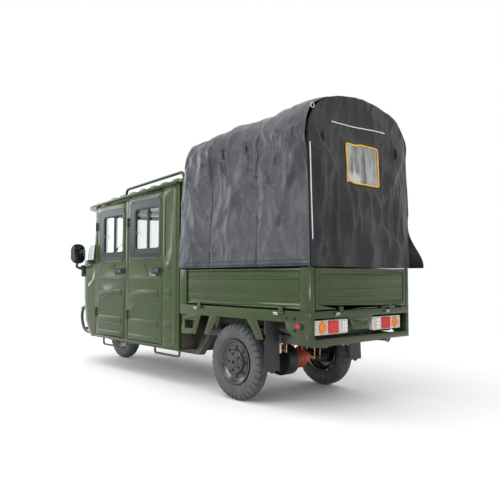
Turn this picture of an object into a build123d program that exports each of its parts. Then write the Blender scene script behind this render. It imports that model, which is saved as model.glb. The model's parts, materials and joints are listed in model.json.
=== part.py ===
from build123d import *
import os
from math import atan, cos, radians, sin, tan

os.makedirs("parts", exist_ok=True)

# Electric cargo tricycle with a two-row closed cab and a covered cargo bed.
# Millimetres. +X is forward, +Y is left, +Z is up. The origin is on the ground, in the
# middle of the overall length and width.

# Overall layout, from the rear forward
REAR_OVERHANG = 800  # rear axle to the bed's rear face
BED_LENGTH = 1490
CAB_GAP = 12
QUARTER_L = 256
REAR_DOOR_L = 599
B_PILLAR_L = 47
FRONT_DOOR_L = 596
A_PILLAR_L = 40
NOSE_L = 332  # A pillar's front to the front axle
FRONT_OVERHANG = 350  # front axle to the front of the bumper guard
BODY_WIDTH = 1100
WHEEL_TUCK = 72  # body's side to the middle of a rear wheel
CLEAR = 7  # gap round doors, boards and tailgate
SEAT_GAP = 0.3  # gap under a part that only rests on another
RUNNING = 0.3  # radial clearance of an axle in its hub
PIN_FIT = 0.3  # radial clearance of a hinge pin in its knuckle
PIN_SIDE_GAP = 1  # gap between the fixed and the moving part of a hinge

# Bed hinges
BED_HINGE_R = 8
BED_HINGE_STANDOFF = 12  # hinge axis outside the bed's faces
BED_PIN_R = 4
BED_BARREL_L = 42  # each half of the barrel
BED_PIN_END = 5  # pin past the moving barrel

CAB_L = QUARTER_L + REAR_DOOR_L + B_PILLAR_L + FRONT_DOOR_L + A_PILLAR_L + 4 * CLEAR
WHEELBASE = BED_LENGTH - REAR_OVERHANG + CAB_GAP + CAB_L + NOSE_L
TRACK = BODY_WIDTH - 2 * WHEEL_TUCK
REAR_REACH = REAR_OVERHANG + BED_HINGE_STANDOFF + BED_HINGE_R
REAR_AXLE_X = (REAR_REACH - FRONT_OVERHANG - WHEELBASE) / 2
FRONT_AXLE_X = REAR_AXLE_X + WHEELBASE
HALF_W = BODY_WIDTH / 2

# Wheels. Y values are from the wheel's middle, towards its outer side.
TYRE_R = 283
TYRE_W = 112
RIM_R = 166  # over the flange
RIM_SEAT_R = 152
RIM_WELL_R = 132
RIM_WELL_Y = 12
RIM_W = 92
RIM_T = 5
DISC_Y = 11  # inner face of the disc
VENT_COUNT = 8
VENT_PITCH_R = 110
VENT_R = 9.5
STUD_COUNT = 5
STUD_PITCH_R = 62
STUD_R = 7
NOTCH_COUNT = 10  # shallow slots round the raised middle of the disc
NOTCH_PITCH_R = 77
REAR_STUB_R = 16
FRONT_AXLE_R = 9
FRONT_HUB_HALF_W = 50
HUB_R = 30
HUB_OUT_Y = 54
HUB_CAP_R = 43
HUB_STEP_R = 84  # raised middle of the disc
HUB_STEP_Y = 46
DISC_FACE_Y = 22  # outer face of the disc round the raised middle
DRUM_R = 104
DRUM_W = 40

# Cargo bed
BED_FLOOR_Z = 690
LINER_T = 4  # floor panel between the boards
LINER_SIDE_GAP = 42  # body's side to the floor panel
BED_TOP_Z = 980
BED_RAIL_H = 78
BED_RAIL_T = 30
FLOOR_T = 12
POST_W = 97  # corner post along the bed's side
POST_T = 36
POST_SHEET = 6
POST_BOTTOM_Z = 467
BOARD_T = 22
BAND_RELIEF = 6  # pressed bands on the boards and the tailgate
BED_REAR_X = REAR_AXLE_X - REAR_OVERHANG
BED_FRONT_X = BED_REAR_X + BED_LENGTH
BED_RAIL_Z = BED_FLOOR_Z - BED_RAIL_H
BOARD_Y = HALF_W - POST_SHEET - BOARD_T  # inner face of the drop side
BOARD_Z = BED_FLOOR_Z + CLEAR + 4
BOARD_X0 = BED_REAR_X + POST_W + CLEAR
BOARD_X1 = BED_FRONT_X - POST_W - CLEAR
BANDS = ((748, 788), (806, 900), (916, 958))  # z spans, bottom to top
GATE_HALF_W = HALF_W - POST_T - CLEAR
GATE_BANDS = ((757, 785), (816, 838), (866, 936))
BED_HINGE_Z = BED_FLOOR_Z - 18
BRACKET_Y = HALF_W - 6  # inner face of the brackets under the side rail

# Rear lamp frame under the tailgate
BEAM_H = 40
BEAM_D = 36
HEADER_Z = 645
LAMP_W = 344
LAMP_H = 96
LAMP_D = 40
LAMP_Z = 580  # centre height
LAMP_INNER_Y = HALF_W - 410
LAMP_RECESS = 34  # lamp housing behind the bed's rear face
TOW_LOOP_Y = -300
TOW_LOOP_R = 26
TOW_BAR_R = 5
PLATE_T = 5
PLATE_HOLE_Y = 60
PLATE_HOLE_Z = 600
PLATE_HOLE_R = 4
FLAP_IN_Y = HALF_W - 158
FLAP_OUT_Y = HALF_W - 8
FLAP_TOP_Z = 600
FLAP_T = 4

# Cab, from the rear wall forward
WALL_T = 35  # door, pillar and side wall thickness
PANEL_T = 12  # rear wall and bulkhead
CAB_REAR_X = BED_FRONT_X + CAB_GAP
QUARTER_FRONT_X = CAB_REAR_X + QUARTER_L
REAR_DOOR_X = QUARTER_FRONT_X + CLEAR
B_PILLAR_X = REAR_DOOR_X + REAR_DOOR_L + CLEAR
FRONT_DOOR_X = B_PILLAR_X + B_PILLAR_L + CLEAR
A_PILLAR_X = FRONT_DOOR_X + FRONT_DOOR_L + CLEAR
A_FRONT_X = A_PILLAR_X + A_PILLAR_L

# Cab heights
SILL_Z = 300
SILL_H = 24
FLOOR_TOP_Z = SILL_Z + SILL_H
BULKHEAD_TOP_Z = 820
BELT_Z = 1055  # top of the nose, foot of the windscreen
ROOF_REAR_Z = 1712  # underside of the roof at the rear wall
ROOF_SLOPE = 2.4  # degrees
ROOF_PLATE_T = 16
ROOF_LIP = 42  # drip lip outside the doors
ROOF_REAR_LIP = 8
GUTTER_W = 9  # raised rim round the roof plate
GUTTER_H = 8
ROOF_CORNER_X = A_FRONT_X - 23  # where the roof's side edge starts to curve in
CROWN_H = 46
CROWN_HALF_W = HALF_W - 30
CROWN_START = 10
CROWN_END = CAB_L - 126
CROWN_DRAFT = 35
RIB_COUNT = 7
RIB_L = 130
RIB_RELIEF = 11
RACK_Y = HALF_W - 100
RACK_R = 13
RACK_START = 60
RACK_END = CAB_L - 456
RACK_RISE = 66
REAR_WINDOW_Z = 1315  # centre height
REAR_WINDOW_W = BODY_WIDTH - 340
REAR_WINDOW_H = 370


def roof_z(x):
    """Height of the roof's underside at x."""
    return ROOF_REAR_Z - (x - CAB_REAR_X) * tan(radians(ROOF_SLOPE))


ROOF_PLANE = Plane(
    origin=(CAB_REAR_X, 0, ROOF_REAR_Z),
    x_dir=(cos(radians(ROOF_SLOPE)), 0, -sin(radians(ROOF_SLOPE))),
    z_dir=(sin(radians(ROOF_SLOPE)), 0, cos(radians(ROOF_SLOPE))),
)

# Doors
DOOR_Z = FLOOR_TOP_Z + CLEAR
DOOR_TOP_GAP = CLEAR
DOOR_HINGE_R = 8
DOOR_PIN_R = 4
DOOR_KNUCKLE_H = 56
DOOR_LEAF_L = 30
DOOR_LEAF_T = 4
DOOR_HINGE_ZS = (560, 1440)
FRAME_CORNER_R = 60
FRAME_RELIEF = 6
FRAME_RIM_W = 9  # raised edge of the window frame
FRAME_RIM_H = 4.5
WINDOW_CORNER_R = 34
PANE_T = 5
SWAGE_RELIEF = 9
DOOR_BANDS = (  # top, bottom, fall past the knee
    (800, 728, 40),
    (529, 459, 0),
    (384, 350, 0),
)
QUARTER_BANDS = ((812, 738), (535, 465), (390, 354))
COLUMN = (30, 82)  # upright rib on the quarter panel, from the rear wall
QUARTER_PRESSING = ((222, 1580), (118, 1490), (118, 1190), (222, 1095))  # x from the rear wall
FLAP_HATCH = (165, 1010, 40)  # x from the rear wall, z, radius
HANDLE_L = 130
HANDLE_H = 40
HANDLE_D = 26
HANDLE_Z = 975
PRESSING_D = 5  # depth of the pressing round a door handle
BELT_RIB = (915, 903, 4)  # top, bottom, relief

# Seats
SEAT_HALF_W = HALF_W - 110
SEAT_Z = 560
SEAT_CUSHION_T = 100
SEAT_BACK_T = 96
SEAT_BACK_H = 540

# Steering. S values are distances up the raked axis from the front axle.
RAKE = 22  # degrees
STEM_R = 20
STEM_TOP_S = 850
LEG_R = 14
LEG_Y = 86
CROWN_S = 330
CROWN_T = 24
NECK_S = 392
NECK_L = 120
NECK_R = 34
GUSSET_Z = 600  # foot of the gusset plates on the bulkhead
BAR_S = 880
BAR_R = 12
BAR_HALF_W = 330
GRIP_L = 110
FENDER_R = 300
FENDER_T = 5
FENDER_W = 132
FENDER_ANGLES = (15, 190)  # degrees, front end and rear end
ARCH_HALF_W = 236  # wheel arch in the nose
ARCH_TOP_Z = 612
DASH_SETBACK = 116

# Mirrors, bumper guard and entry steps
MIRROR_X = FRONT_AXLE_X - 100
MIRROR_Y = HALF_W + 90
MIRROR_Z = 1166
MIRROR_W = 160
MIRROR_H = 210
MIRROR_ROUND = 64
MIRROR_MOUNT = (90, 60, 130)  # length along the nose, depth, height
GUARD_R = 16
GUARD_HALF_W = HALF_W - 110
GUARD_LOW_Z = 306
GUARD_HIGH_Z = 590
STEP_R = 10
STEP_Y = HALF_W - 100
STEPS = (  # rear end, front end, height
    (CAB_REAR_X + 132, CAB_REAR_X + 531, 226),
    (A_PILLAR_X - 263, A_PILLAR_X + 17, 216),
)

# Nose: plan outlines, each with the height and the place of its corner centre
NOSE_T = 9
CORNER_R = 300
CORNER_TURN = 55  # degrees of round corner before the bowed front starts
NOSE_SECTIONS = (  # height, corner centre ahead of the front axle
    (SILL_Z, -312),
    (455, -200),
    (700, -160),
    (BELT_Z, -150),
)
WINDSCREEN_SECTIONS = (  # height, corner centre ahead of the front axle
    (BELT_Z + SEAT_GAP, -150),
    (1350, -234),
    (1561, -393),
    (1665, -470),
)
GLASS_T = 6
NOSE_CREASES = (  # rear end and front end, as x from the front axle and height
    ((-326, 884), (-172, 804)),
    ((-252, 908), (-172, 872)),
)
CREASE_W = 10
CREASE_RELIEF = 3
HEADLAMP_Y = HALF_W - 215
HEADLAMP_Z = 790
HEADLAMP_R = 78
HEADLAMP_FRONT = 158  # lamp lens ahead of the front axle

# Chassis
RAIL_Y = TRACK / 2 - 128
RAIL_W = 64
RAIL_H = 66
RAIL_Z = 440
FRONT_RAIL_H = 44
BEARER_W = 60
SPRING_SPAN = 660
SPRING_W = 50
SPRING_RISE = 46
EYE_R = 15
LEAF_T = 9
LEAF_COUNT = 4
AXLE_TUBE_R = 30
MOTOR_X = REAR_AXLE_X - 150
MOTOR_R = 78
MOTOR_L = 133
MOTOR_FINS = 7
CASE_R = 116
CASE_Y = 100
CASE_W = 103

# Canopy over the bed
CANOPY_BOTTOM_Z = BED_TOP_Z + CLEAR
CANOPY_T = 6
CANOPY_HALF_W = HALF_W + 10
CANOPY_REAR_TOP_Z = 2187
CANOPY_FRONT_TOP_Z = CANOPY_REAR_TOP_Z - 82
CANOPY_SHOULDER_Z = CANOPY_REAR_TOP_Z - 337
CROWN_RISE = 37  # canopy's rise left to the crown arc past the shoulder arcs
CANOPY_FRONT_X = BED_FRONT_X - 6
CANOPY_FRONT_LEAN = 140
CANOPY_REAR_X = BED_REAR_X - 4
CANOPY_REAR_LEAN = 30
HOOP_R = 11


def finish(builder, name):
    """Labels a finished piece and writes it."""
    builder.part.label = name
    export_step(builder.part, f"parts/{name}.step")


def block(x0, x1, y0, y1, z0, z1, mode=Mode.ADD):
    """An upright box between two corners."""
    with Locations(((x0 + x1) / 2, (y0 + y1) / 2, (z0 + z1) / 2)):
        Box(abs(x1 - x0), abs(y1 - y0), abs(z1 - z0), mode=mode)


def bar_x(y, z, radius, x0, x1, mode=Mode.ADD):
    """A round bar along X."""
    with Locations(Location(((x0 + x1) / 2, y, z), (0, 90, 0))):
        Cylinder(radius, abs(x1 - x0), mode=mode)


def bar_y(x, z, radius, y0, y1, mode=Mode.ADD):
    """A round bar along Y."""
    with Locations(Location((x, (y0 + y1) / 2, z), (90, 0, 0))):
        Cylinder(radius, abs(y1 - y0), mode=mode)


def bar_z(x, y, radius, z0, z1, mode=Mode.ADD):
    """A round upright bar."""
    with Locations((x, y, (z0 + z1) / 2)):
        Cylinder(radius, abs(z1 - z0), mode=mode)


def side_plane(y):
    """A sketch plane facing left at y. Its x runs rearward and its y runs up."""
    return Plane(origin=(0, y, 0), x_dir=(-1, 0, 0), z_dir=(0, 1, 0))


def cross_plane(x):
    """A sketch plane facing forward at x. Its x runs left and its y runs up."""
    return Plane(origin=(x, 0, 0), x_dir=(0, 1, 0), z_dir=(1, 0, 0))


def side_plate(points, y0, y1, taper=0, mode=Mode.ADD):
    """Extrudes an outline given as (x, z) pairs from y0 out to y1."""
    with BuildSketch(side_plane(y0)) as outline:
        Polygon(*[(-x, z) for x, z in points], align=None)
    extrude(outline.sketch, amount=y1 - y0, taper=taper, mode=mode)


def side_window(x0, x1, z0, z1, radius, y0, y1, mode=Mode.ADD):
    """Extrudes a rectangle with round corners from y0 out to y1."""
    with BuildSketch(side_plane(y0)) as outline:
        with Locations((-(x0 + x1) / 2, (z0 + z1) / 2)):
            RectangleRounded(x1 - x0, z1 - z0, radius)
    extrude(outline.sketch, amount=y1 - y0, mode=mode)


def tube(path, radius, mode=Mode.ADD):
    """Sweeps a round bar along a line."""
    with BuildSketch(Plane(origin=path @ 0, z_dir=path % 0)) as section:
        Circle(radius)
    sweep(section.sketch, path=path, mode=mode)


# Wheels. A wheel's plane has its x along the radius and its y towards the outer side.
WHEELS = (  # name, x, y, outer side, axle radius, inner end of the hub from the middle
    ("front", FRONT_AXLE_X, 0, 1, FRONT_AXLE_R, -FRONT_HUB_HALF_W),
    ("rear_left", REAR_AXLE_X, TRACK / 2, 1, REAR_STUB_R, DISC_Y),
    ("rear_right", REAR_AXLE_X, -TRACK / 2, -1, REAR_STUB_R, DISC_Y),
)
half_rim = RIM_W / 2
bead_y = half_rim - 8.5
tread_y = TYRE_W / 2 * 0.82
for wheel_name, wheel_x, wheel_y, outer, axle_r, hub_in in WHEELS:
    centre = (wheel_x, wheel_y, TYRE_R)
    section_plane = Plane(origin=centre, x_dir=(1, 0, 0), z_dir=(0, 0, outer))
    disc_plane = Plane(origin=centre, x_dir=(1, 0, 0), z_dir=(0, outer, 0))
    wheel_axis = Axis(centre, (0, 1, 0))
    with BuildPart() as tyre:
        with BuildSketch(section_plane):
            with BuildLine():
                Polyline((RIM_R - 2, -bead_y), (RIM_SEAT_R, -bead_y), (RIM_SEAT_R, bead_y),
                         (RIM_R - 2, bead_y))
                ThreePointArc((RIM_R - 2, bead_y), (RIM_R + 50, TYRE_W / 2),
                              (TYRE_R - 10, tread_y))
                ThreePointArc((TYRE_R - 10, tread_y), (TYRE_R, 0), (TYRE_R - 10, -tread_y))
                ThreePointArc((TYRE_R - 10, -tread_y), (RIM_R + 50, -TYRE_W / 2),
                              (RIM_R - 2, -bead_y))
            make_face()
        revolve(axis=wheel_axis)
    finish(tyre, f"tyre_{wheel_name}")

    well_r = RIM_SEAT_R - 0.5
    bore_r = axle_r + RUNNING
    outer_contour = (
        (RIM_R, half_rim),
        (RIM_R, half_rim - 5),
        (well_r, half_rim - 8),
        (well_r, RIM_WELL_Y + 8),
        (RIM_WELL_R, RIM_WELL_Y),
        (RIM_WELL_R, -RIM_WELL_Y),
        (well_r, -RIM_WELL_Y - 8),
        (well_r, 8 - half_rim),
        (RIM_R, 5 - half_rim),
        (RIM_R, -half_rim),
        (well_r - RIM_T, 3 - half_rim),
        (well_r - RIM_T, -RIM_WELL_Y - 11),
        (RIM_WELL_R - RIM_T, -RIM_WELL_Y - 2),
        (RIM_WELL_R - RIM_T, DISC_Y),
    )
    disc_contour = (
        (DRUM_R + 4, DISC_Y),
        (DRUM_R - 22, DISC_Y + 10),
        (HUB_R - 4, DISC_Y + 10),
        (HUB_R - 4, hub_in),
        (bore_r, hub_in),
        (bore_r, HUB_OUT_Y),
        (HUB_CAP_R, HUB_OUT_Y),
        (HUB_CAP_R + 2, HUB_STEP_Y),
        (HUB_STEP_R, HUB_STEP_Y),
        (HUB_STEP_R + 6, HUB_STEP_Y - 6),
        (HUB_STEP_R + 9, DISC_FACE_Y),
        (RIM_WELL_R - RIM_T, DISC_FACE_Y),
        (well_r - RIM_T, DISC_FACE_Y + 8),
        (well_r - RIM_T, half_rim - 3),
    )
    if hub_in == DISC_Y:
        disc_contour = disc_contour[:2] + ((bore_r, DISC_Y + 10),) + disc_contour[5:]
    with BuildPart() as rim:
        with BuildSketch(section_plane):
            with BuildLine():
                Polyline(*outer_contour, *disc_contour, close=True)
            make_face()
        revolve(axis=wheel_axis)
        with BuildSketch(disc_plane):
            with PolarLocations(VENT_PITCH_R, VENT_COUNT):
                Circle(VENT_R)
        extrude(amount=half_rim, mode=Mode.SUBTRACT)
        with BuildSketch(disc_plane.offset(HUB_STEP_Y - 3)):
            with PolarLocations(NOTCH_PITCH_R, NOTCH_COUNT):
                Rectangle(8, 16)
        extrude(amount=10, mode=Mode.SUBTRACT)
        with BuildSketch(disc_plane.offset(HUB_STEP_Y - 2)):
            with PolarLocations(STUD_PITCH_R, STUD_COUNT):
                RegularPolygon(STUD_R, 6)
        extrude(amount=11)
    finish(rim, f"rim_{wheel_name}")

# Rear axle: tube, gear case, brake drums and the stub shafts that carry the wheels
DRUM_Y = TRACK / 2 - RIM_W / 2 + 6
STUB_END_Y = TRACK / 2 + HUB_OUT_Y + 7
with BuildPart() as rear_axle:
    bar_y(REAR_AXLE_X, TYRE_R, AXLE_TUBE_R, -DRUM_Y, DRUM_Y)
    for hand in (1, -1):
        bar_y(REAR_AXLE_X, TYRE_R, DRUM_R - 8, hand * DRUM_Y, hand * (DRUM_Y + DRUM_W))
        bar_y(REAR_AXLE_X, TYRE_R, REAR_STUB_R, hand * DRUM_Y, hand * STUB_END_Y)
    with BuildSketch(Plane.XZ.offset(-CASE_Y)):
        with BuildLine():
            CenterArc((REAR_AXLE_X, TYRE_R), CASE_R - 20, 0, 360)
            CenterArc((MOTOR_X, TYRE_R), CASE_R, 0, 360)
        make_hull()
    extrude(amount=-CASE_W)
finish(rear_axle, "rear_axle")

# Drive motor beside the gear case: a round body with cooling fins and a smaller end bell
with BuildPart() as drive_motor:
    motor_y = CASE_Y - SEAT_GAP
    motor_end = motor_y - MOTOR_L
    bar_y(MOTOR_X, TYRE_R, MOTOR_R - 8, motor_end, motor_y)
    for fin in range(MOTOR_FINS):
        fin_y = motor_y - 12 - fin * (MOTOR_L - 20) / (MOTOR_FINS - 1)
        bar_y(MOTOR_X, TYRE_R, MOTOR_R, fin_y, fin_y + 8)
    with BuildSketch(Plane.XZ.offset(-motor_end)):
        with Locations((MOTOR_X, TYRE_R)):
            Circle(MOTOR_R - 16)
    extrude(amount=70, taper=14)
finish(drive_motor, "drive_motor")

# Leaf springs over the axle: curved leaves, shortest at the bottom, with an eye at each end
SPRING_SEAT_Z = TYRE_R + AXLE_TUBE_R + SEAT_GAP
LEAF_LAP = 0.3
EYE_Z = SPRING_SEAT_Z + LEAF_T * (LEAF_COUNT - 0.5) + SPRING_RISE
with BuildPart() as leaf_springs:
    for leaf in range(LEAF_COUNT):
        share = (leaf + 2) / (LEAF_COUNT + 1)
        half = SPRING_SPAN * share / 2
        rise = SPRING_RISE * share**2
        z0 = SPRING_SEAT_Z + LEAF_T * leaf
        z1 = z0 + LEAF_T + LEAF_LAP
        with BuildSketch(side_plane(RAIL_Y - SPRING_W / 2)):
            with BuildLine():
                low = ThreePointArc((-REAR_AXLE_X - half, z0 + rise), (-REAR_AXLE_X, z0),
                                    (-REAR_AXLE_X + half, z0 + rise))
                high = ThreePointArc((-REAR_AXLE_X - half, z1 + rise), (-REAR_AXLE_X, z1),
                                     (-REAR_AXLE_X + half, z1 + rise))
                Line(low @ 0, high @ 0)
                Line(low @ 1, high @ 1)
            make_face()
        extrude(amount=SPRING_W)
    for end in (-1, 1):
        bar_y(REAR_AXLE_X + end * SPRING_SPAN / 2, EYE_Z, EYE_R,
              RAIL_Y - SPRING_W / 2, RAIL_Y + SPRING_W / 2)
    mirror(about=Plane.XZ)
finish(leaf_springs, "leaf_springs")

# Spring clamps: U bolts round the axle, and hangers from the rails to the spring eyes
SPRING_TOP_Z = SPRING_SEAT_Z + LEAF_T * LEAF_COUNT + LEAF_LAP
with BuildPart() as spring_clamps:
    bolt_x = AXLE_TUBE_R + 9
    plate_x = bolt_x + 12
    plate_y = SPRING_W / 2 + 20
    for dy in (-SPRING_W / 2 - 9, SPRING_W / 2 + 9):
        for dx in (-bolt_x, bolt_x):
            bar_z(REAR_AXLE_X + dx, RAIL_Y + dy, 7, TYRE_R - 54, SPRING_TOP_Z + 26)
    for z0 in (SPRING_TOP_Z + 1.5, TYRE_R - AXLE_TUBE_R - 10 - SEAT_GAP):
        block(REAR_AXLE_X - plate_x, REAR_AXLE_X + plate_x, RAIL_Y - plate_y, RAIL_Y + plate_y,
              z0, z0 + 10)
    for end in (-1, 1):
        x = REAR_AXLE_X + end * SPRING_SPAN / 2
        for hand in (-1, 1):
            y = RAIL_Y + hand * (SPRING_W / 2 + 0.5)
            block(x - 20, x + 20, y, y + hand * 6, EYE_Z - 22, RAIL_Z - SEAT_GAP)
    mirror(about=Plane.XZ)
finish(spring_clamps, "spring_clamps")

# Chassis rails: high over the rear axle, cranked down to run under the cab floor
CRANK_X = BED_FRONT_X - 200
RAIL_TOP_Z = RAIL_Z + RAIL_H
FRONT_RAIL_TOP_Z = SILL_Z - SEAT_GAP
FRONT_RAIL_Z = FRONT_RAIL_TOP_Z - FRONT_RAIL_H
with BuildPart() as chassis_rails:
    side_plate(((BED_REAR_X + 60, RAIL_Z), (CRANK_X, RAIL_Z), (CRANK_X + 150, FRONT_RAIL_Z),
                (A_FRONT_X, FRONT_RAIL_Z), (A_FRONT_X, FRONT_RAIL_TOP_Z),
                (CRANK_X + 190, FRONT_RAIL_TOP_Z), (CRANK_X + 60, RAIL_TOP_Z),
                (BED_REAR_X + 60, RAIL_TOP_Z)),
               RAIL_Y - RAIL_W / 2, RAIL_Y + RAIL_W / 2)
    mirror(about=Plane.XZ)
finish(chassis_rails, "chassis_rails")

# Cross members between the rails, and the bearers on them that carry the bed floor
CROSS_XS = (BED_REAR_X + 120, REAR_AXLE_X + 195, CRANK_X + 35)
FRONT_CROSS_XS = (CAB_REAR_X + 130, B_PILLAR_X, A_PILLAR_X - 60)
BEARER_XS = (BED_REAR_X + 150, REAR_AXLE_X - 316, REAR_AXLE_X + 250, BED_FRONT_X - 130)
RAIL_INNER_Y = RAIL_Y - RAIL_W / 2
BEARER_TOP_Z = BED_RAIL_Z - SEAT_GAP
with BuildPart() as cross_members:
    inner = RAIL_INNER_Y - SEAT_GAP
    for x in CROSS_XS:
        block(x - 22, x + 22, -inner, inner, RAIL_Z + 4, RAIL_TOP_Z - 6)
    for x in FRONT_CROSS_XS:
        block(x - 22, x + 22, -inner, inner, FRONT_RAIL_Z + 4, FRONT_RAIL_TOP_Z - 2)
    for x in BEARER_XS:
        block(x - BEARER_W / 2, x + BEARER_W / 2, -HALF_W + 62, HALF_W - 62,
              RAIL_TOP_Z + SEAT_GAP, BEARER_TOP_Z)
finish(cross_members, "cross_members")

# Battery box, one plain block between the rails, hung from the bearer above it
BATTERY_H = 134
with BuildPart() as battery_box:
    inner = RAIL_INNER_Y - CLEAR
    block(CROSS_XS[1] + 25, CROSS_XS[2] - 25, -inner, inner, RAIL_TOP_Z - BATTERY_H, RAIL_TOP_Z)
    fillet(battery_box.edges().filter_by(Axis.Z), 12)
finish(battery_box, "battery_box")

# Bed floor with side rails, cross ribs and the header over the tail lamps
with BuildPart() as bed_floor:
    block(BED_REAR_X, BED_FRONT_X, -HALF_W, HALF_W, BED_FLOOR_Z - FLOOR_T, BED_FLOOR_Z)
    for hand in (1, -1):
        block(BED_REAR_X + BEAM_D, BED_FRONT_X, hand * (HALF_W - BED_RAIL_T), hand * HALF_W,
              BED_RAIL_Z, BED_FLOOR_Z)
    for x in BEARER_XS:
        block(x - 40, x + 40, -HALF_W, HALF_W, BED_RAIL_Z, BED_FLOOR_Z)
    block(BED_REAR_X, BED_REAR_X + BEAM_D, -HALF_W, HALF_W, HEADER_Z, BED_FLOOR_Z)
    block(BED_FRONT_X - 20, BED_FRONT_X, -HALF_W, HALF_W, BED_RAIL_Z, BED_FLOOR_Z)
    liner_y = HALF_W - LINER_SIDE_GAP
    block(BED_REAR_X + BOARD_T + CLEAR, BED_FRONT_X - 20 - CLEAR, -liner_y, liner_y,
          BED_FLOOR_Z - 1, BED_FLOOR_Z + LINER_T)
finish(bed_floor, "bed_floor")

# Corner posts of the bed, folded sheet, with the headboard between the front pair
POST_Z = BED_FLOOR_Z + SEAT_GAP
with BuildPart() as bed_posts:
    for end_x, inward in ((BED_REAR_X, 1), (BED_FRONT_X, -1)):
        block(end_x, end_x + inward * POST_W, HALF_W - POST_SHEET, HALF_W, POST_Z, BED_TOP_Z)
        block(end_x, end_x + inward * POST_SHEET, HALF_W - POST_T, HALF_W, POST_Z, BED_TOP_Z)
        block(end_x + inward * (POST_W - 6), end_x + inward * POST_W, HALF_W - POST_T, HALF_W,
              POST_Z, BED_TOP_Z)
    mirror(about=Plane.XZ)
finish(bed_posts, "bed_posts")

with BuildPart() as headboard:
    y = HALF_W - POST_T - SEAT_GAP
    block(BED_FRONT_X - 12, BED_FRONT_X - 1, -y, y, POST_Z, BED_TOP_Z)
    for rib in range(3):
        z = BED_FLOOR_Z + 74 + 82 * rib
        block(BED_FRONT_X - 20, BED_FRONT_X - 12, -y + 40, y - 40, z - 14, z + 14)
finish(headboard, "headboard")

# Rear lamp frame: uprights and lower beam with a tow loop, and the number plate bracket
with BuildPart() as rear_frame:
    rear_x = BED_REAR_X + BEAM_D
    frame_top = HEADER_Z - SEAT_GAP
    block(BED_REAR_X, rear_x, -HALF_W, HALF_W, POST_BOTTOM_Z, POST_BOTTOM_Z + BEAM_H)
    for hand in (1, -1):
        block(BED_REAR_X, rear_x, hand * (HALF_W - POST_T), hand * HALF_W, POST_BOTTOM_Z,
              frame_top)
    with Locations(Location((BED_REAR_X + BEAM_D / 2, TOW_LOOP_Y, POST_BOTTOM_Z), (0, 90, 0))):
        Torus(TOW_LOOP_R, TOW_BAR_R)
    with BuildSketch(cross_plane(rear_x - PLATE_T)):
        Polygon((-155, frame_top), (155, frame_top), (132, 628), (82, 548), (-82, 548),
                (-132, 628), align=None)
        with Locations((-PLATE_HOLE_Y, PLATE_HOLE_Z), (PLATE_HOLE_Y, PLATE_HOLE_Z)):
            Circle(PLATE_HOLE_R, mode=Mode.SUBTRACT)
    extrude(amount=PLATE_T)
finish(rear_frame, "rear_frame")

# Tail lamps: a housing each side with three lenses, on a bracket from the upright
LENS_SPANS = ((0.08, 0.36), (0.39, 0.72), (0.75, 0.95))  # shares of the width, outer end first
with BuildPart() as tail_lamps:
    lamp_x = BED_REAR_X + LAMP_RECESS
    back_x = lamp_x + LAMP_D
    outer_y = LAMP_INNER_Y + LAMP_W
    bracket_y = HALF_W - POST_T - SEAT_GAP
    z0 = LAMP_Z - LAMP_H / 2
    block(lamp_x, back_x, LAMP_INNER_Y, outer_y, z0, z0 + LAMP_H)
    fillet(tail_lamps.faces().sort_by(Axis.X)[0].edges(), 7)
    for start, stop in LENS_SPANS:
        block(lamp_x - 6, lamp_x + 4, outer_y - stop * LAMP_W, outer_y - start * LAMP_W,
              z0 + 14, z0 + LAMP_H - 14)
    block(back_x, back_x + 5, LAMP_INNER_Y + 60, bracket_y, LAMP_Z - 18, LAMP_Z + 18)
    block(BED_REAR_X + BEAM_D / 2, back_x + 5, bracket_y - 5, bracket_y, LAMP_Z - 18, LAMP_Z + 18)
    mirror(about=Plane.XZ)
finish(tail_lamps, "tail_lamps")

# Pressed brackets under the side rail: a box bracket with a window, a slatted stake on each
# side of the wheel and the rear gusset.
BRACKETS = (  # where x is measured from, then the outline in x and z
    (BED_FRONT_X, ((-29, BEARER_TOP_Z), (-298, BEARER_TOP_Z), (-228, 458), (-29, 449))),
    (REAR_AXLE_X, ((278, BEARER_TOP_Z), (169, BEARER_TOP_Z), (277, 466), (347, 464))),
    (REAR_AXLE_X, ((-166, BEARER_TOP_Z), (-278, BEARER_TOP_Z), (-347, 476), (-277, 474))),
    (BED_REAR_X, ((240, BEARER_TOP_Z), (225, 562), (100, 470), (BEAM_D, POST_BOTTOM_Z),
                  (BEAM_D, BEARER_TOP_Z))),
)
BRACKET_WINDOW = ((-78, 567), (-210, 567), (-188, 500), (-78, 500))
REFLECTOR_X = BED_REAR_X + 114
REFLECTOR_Z = 592
REFLECTOR_R = 16
SLAT_COUNT = 5
SLAT_TOP_Z = 588
SLAT_PITCH = 26
with BuildPart() as bed_brackets:
    for base_x, outline in BRACKETS:
        side_plate([(base_x + x, z) for x, z in outline], BRACKET_Y, BRACKET_Y + 5)
    side_plate([(BED_FRONT_X + x, z) for x, z in BRACKET_WINDOW], BRACKET_Y - 1, HALF_W,
               mode=Mode.SUBTRACT)
    for hand in (1, -1):
        for step in range(SLAT_COUNT):
            z = SLAT_TOP_Z - step * SLAT_PITCH
            x = REAR_AXLE_X + hand * (222 + 0.56 * (BEARER_TOP_Z - z))
            block(x - 24, x + 24, BRACKET_Y + 4, BRACKET_Y + 8, z - 3, z + 3)
    bar_y(REFLECTOR_X, REFLECTOR_Z, REFLECTOR_R, BRACKET_Y + 4, BRACKET_Y + 10)
    mirror(about=Plane.XZ)
finish(bed_brackets, "bed_brackets")

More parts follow.
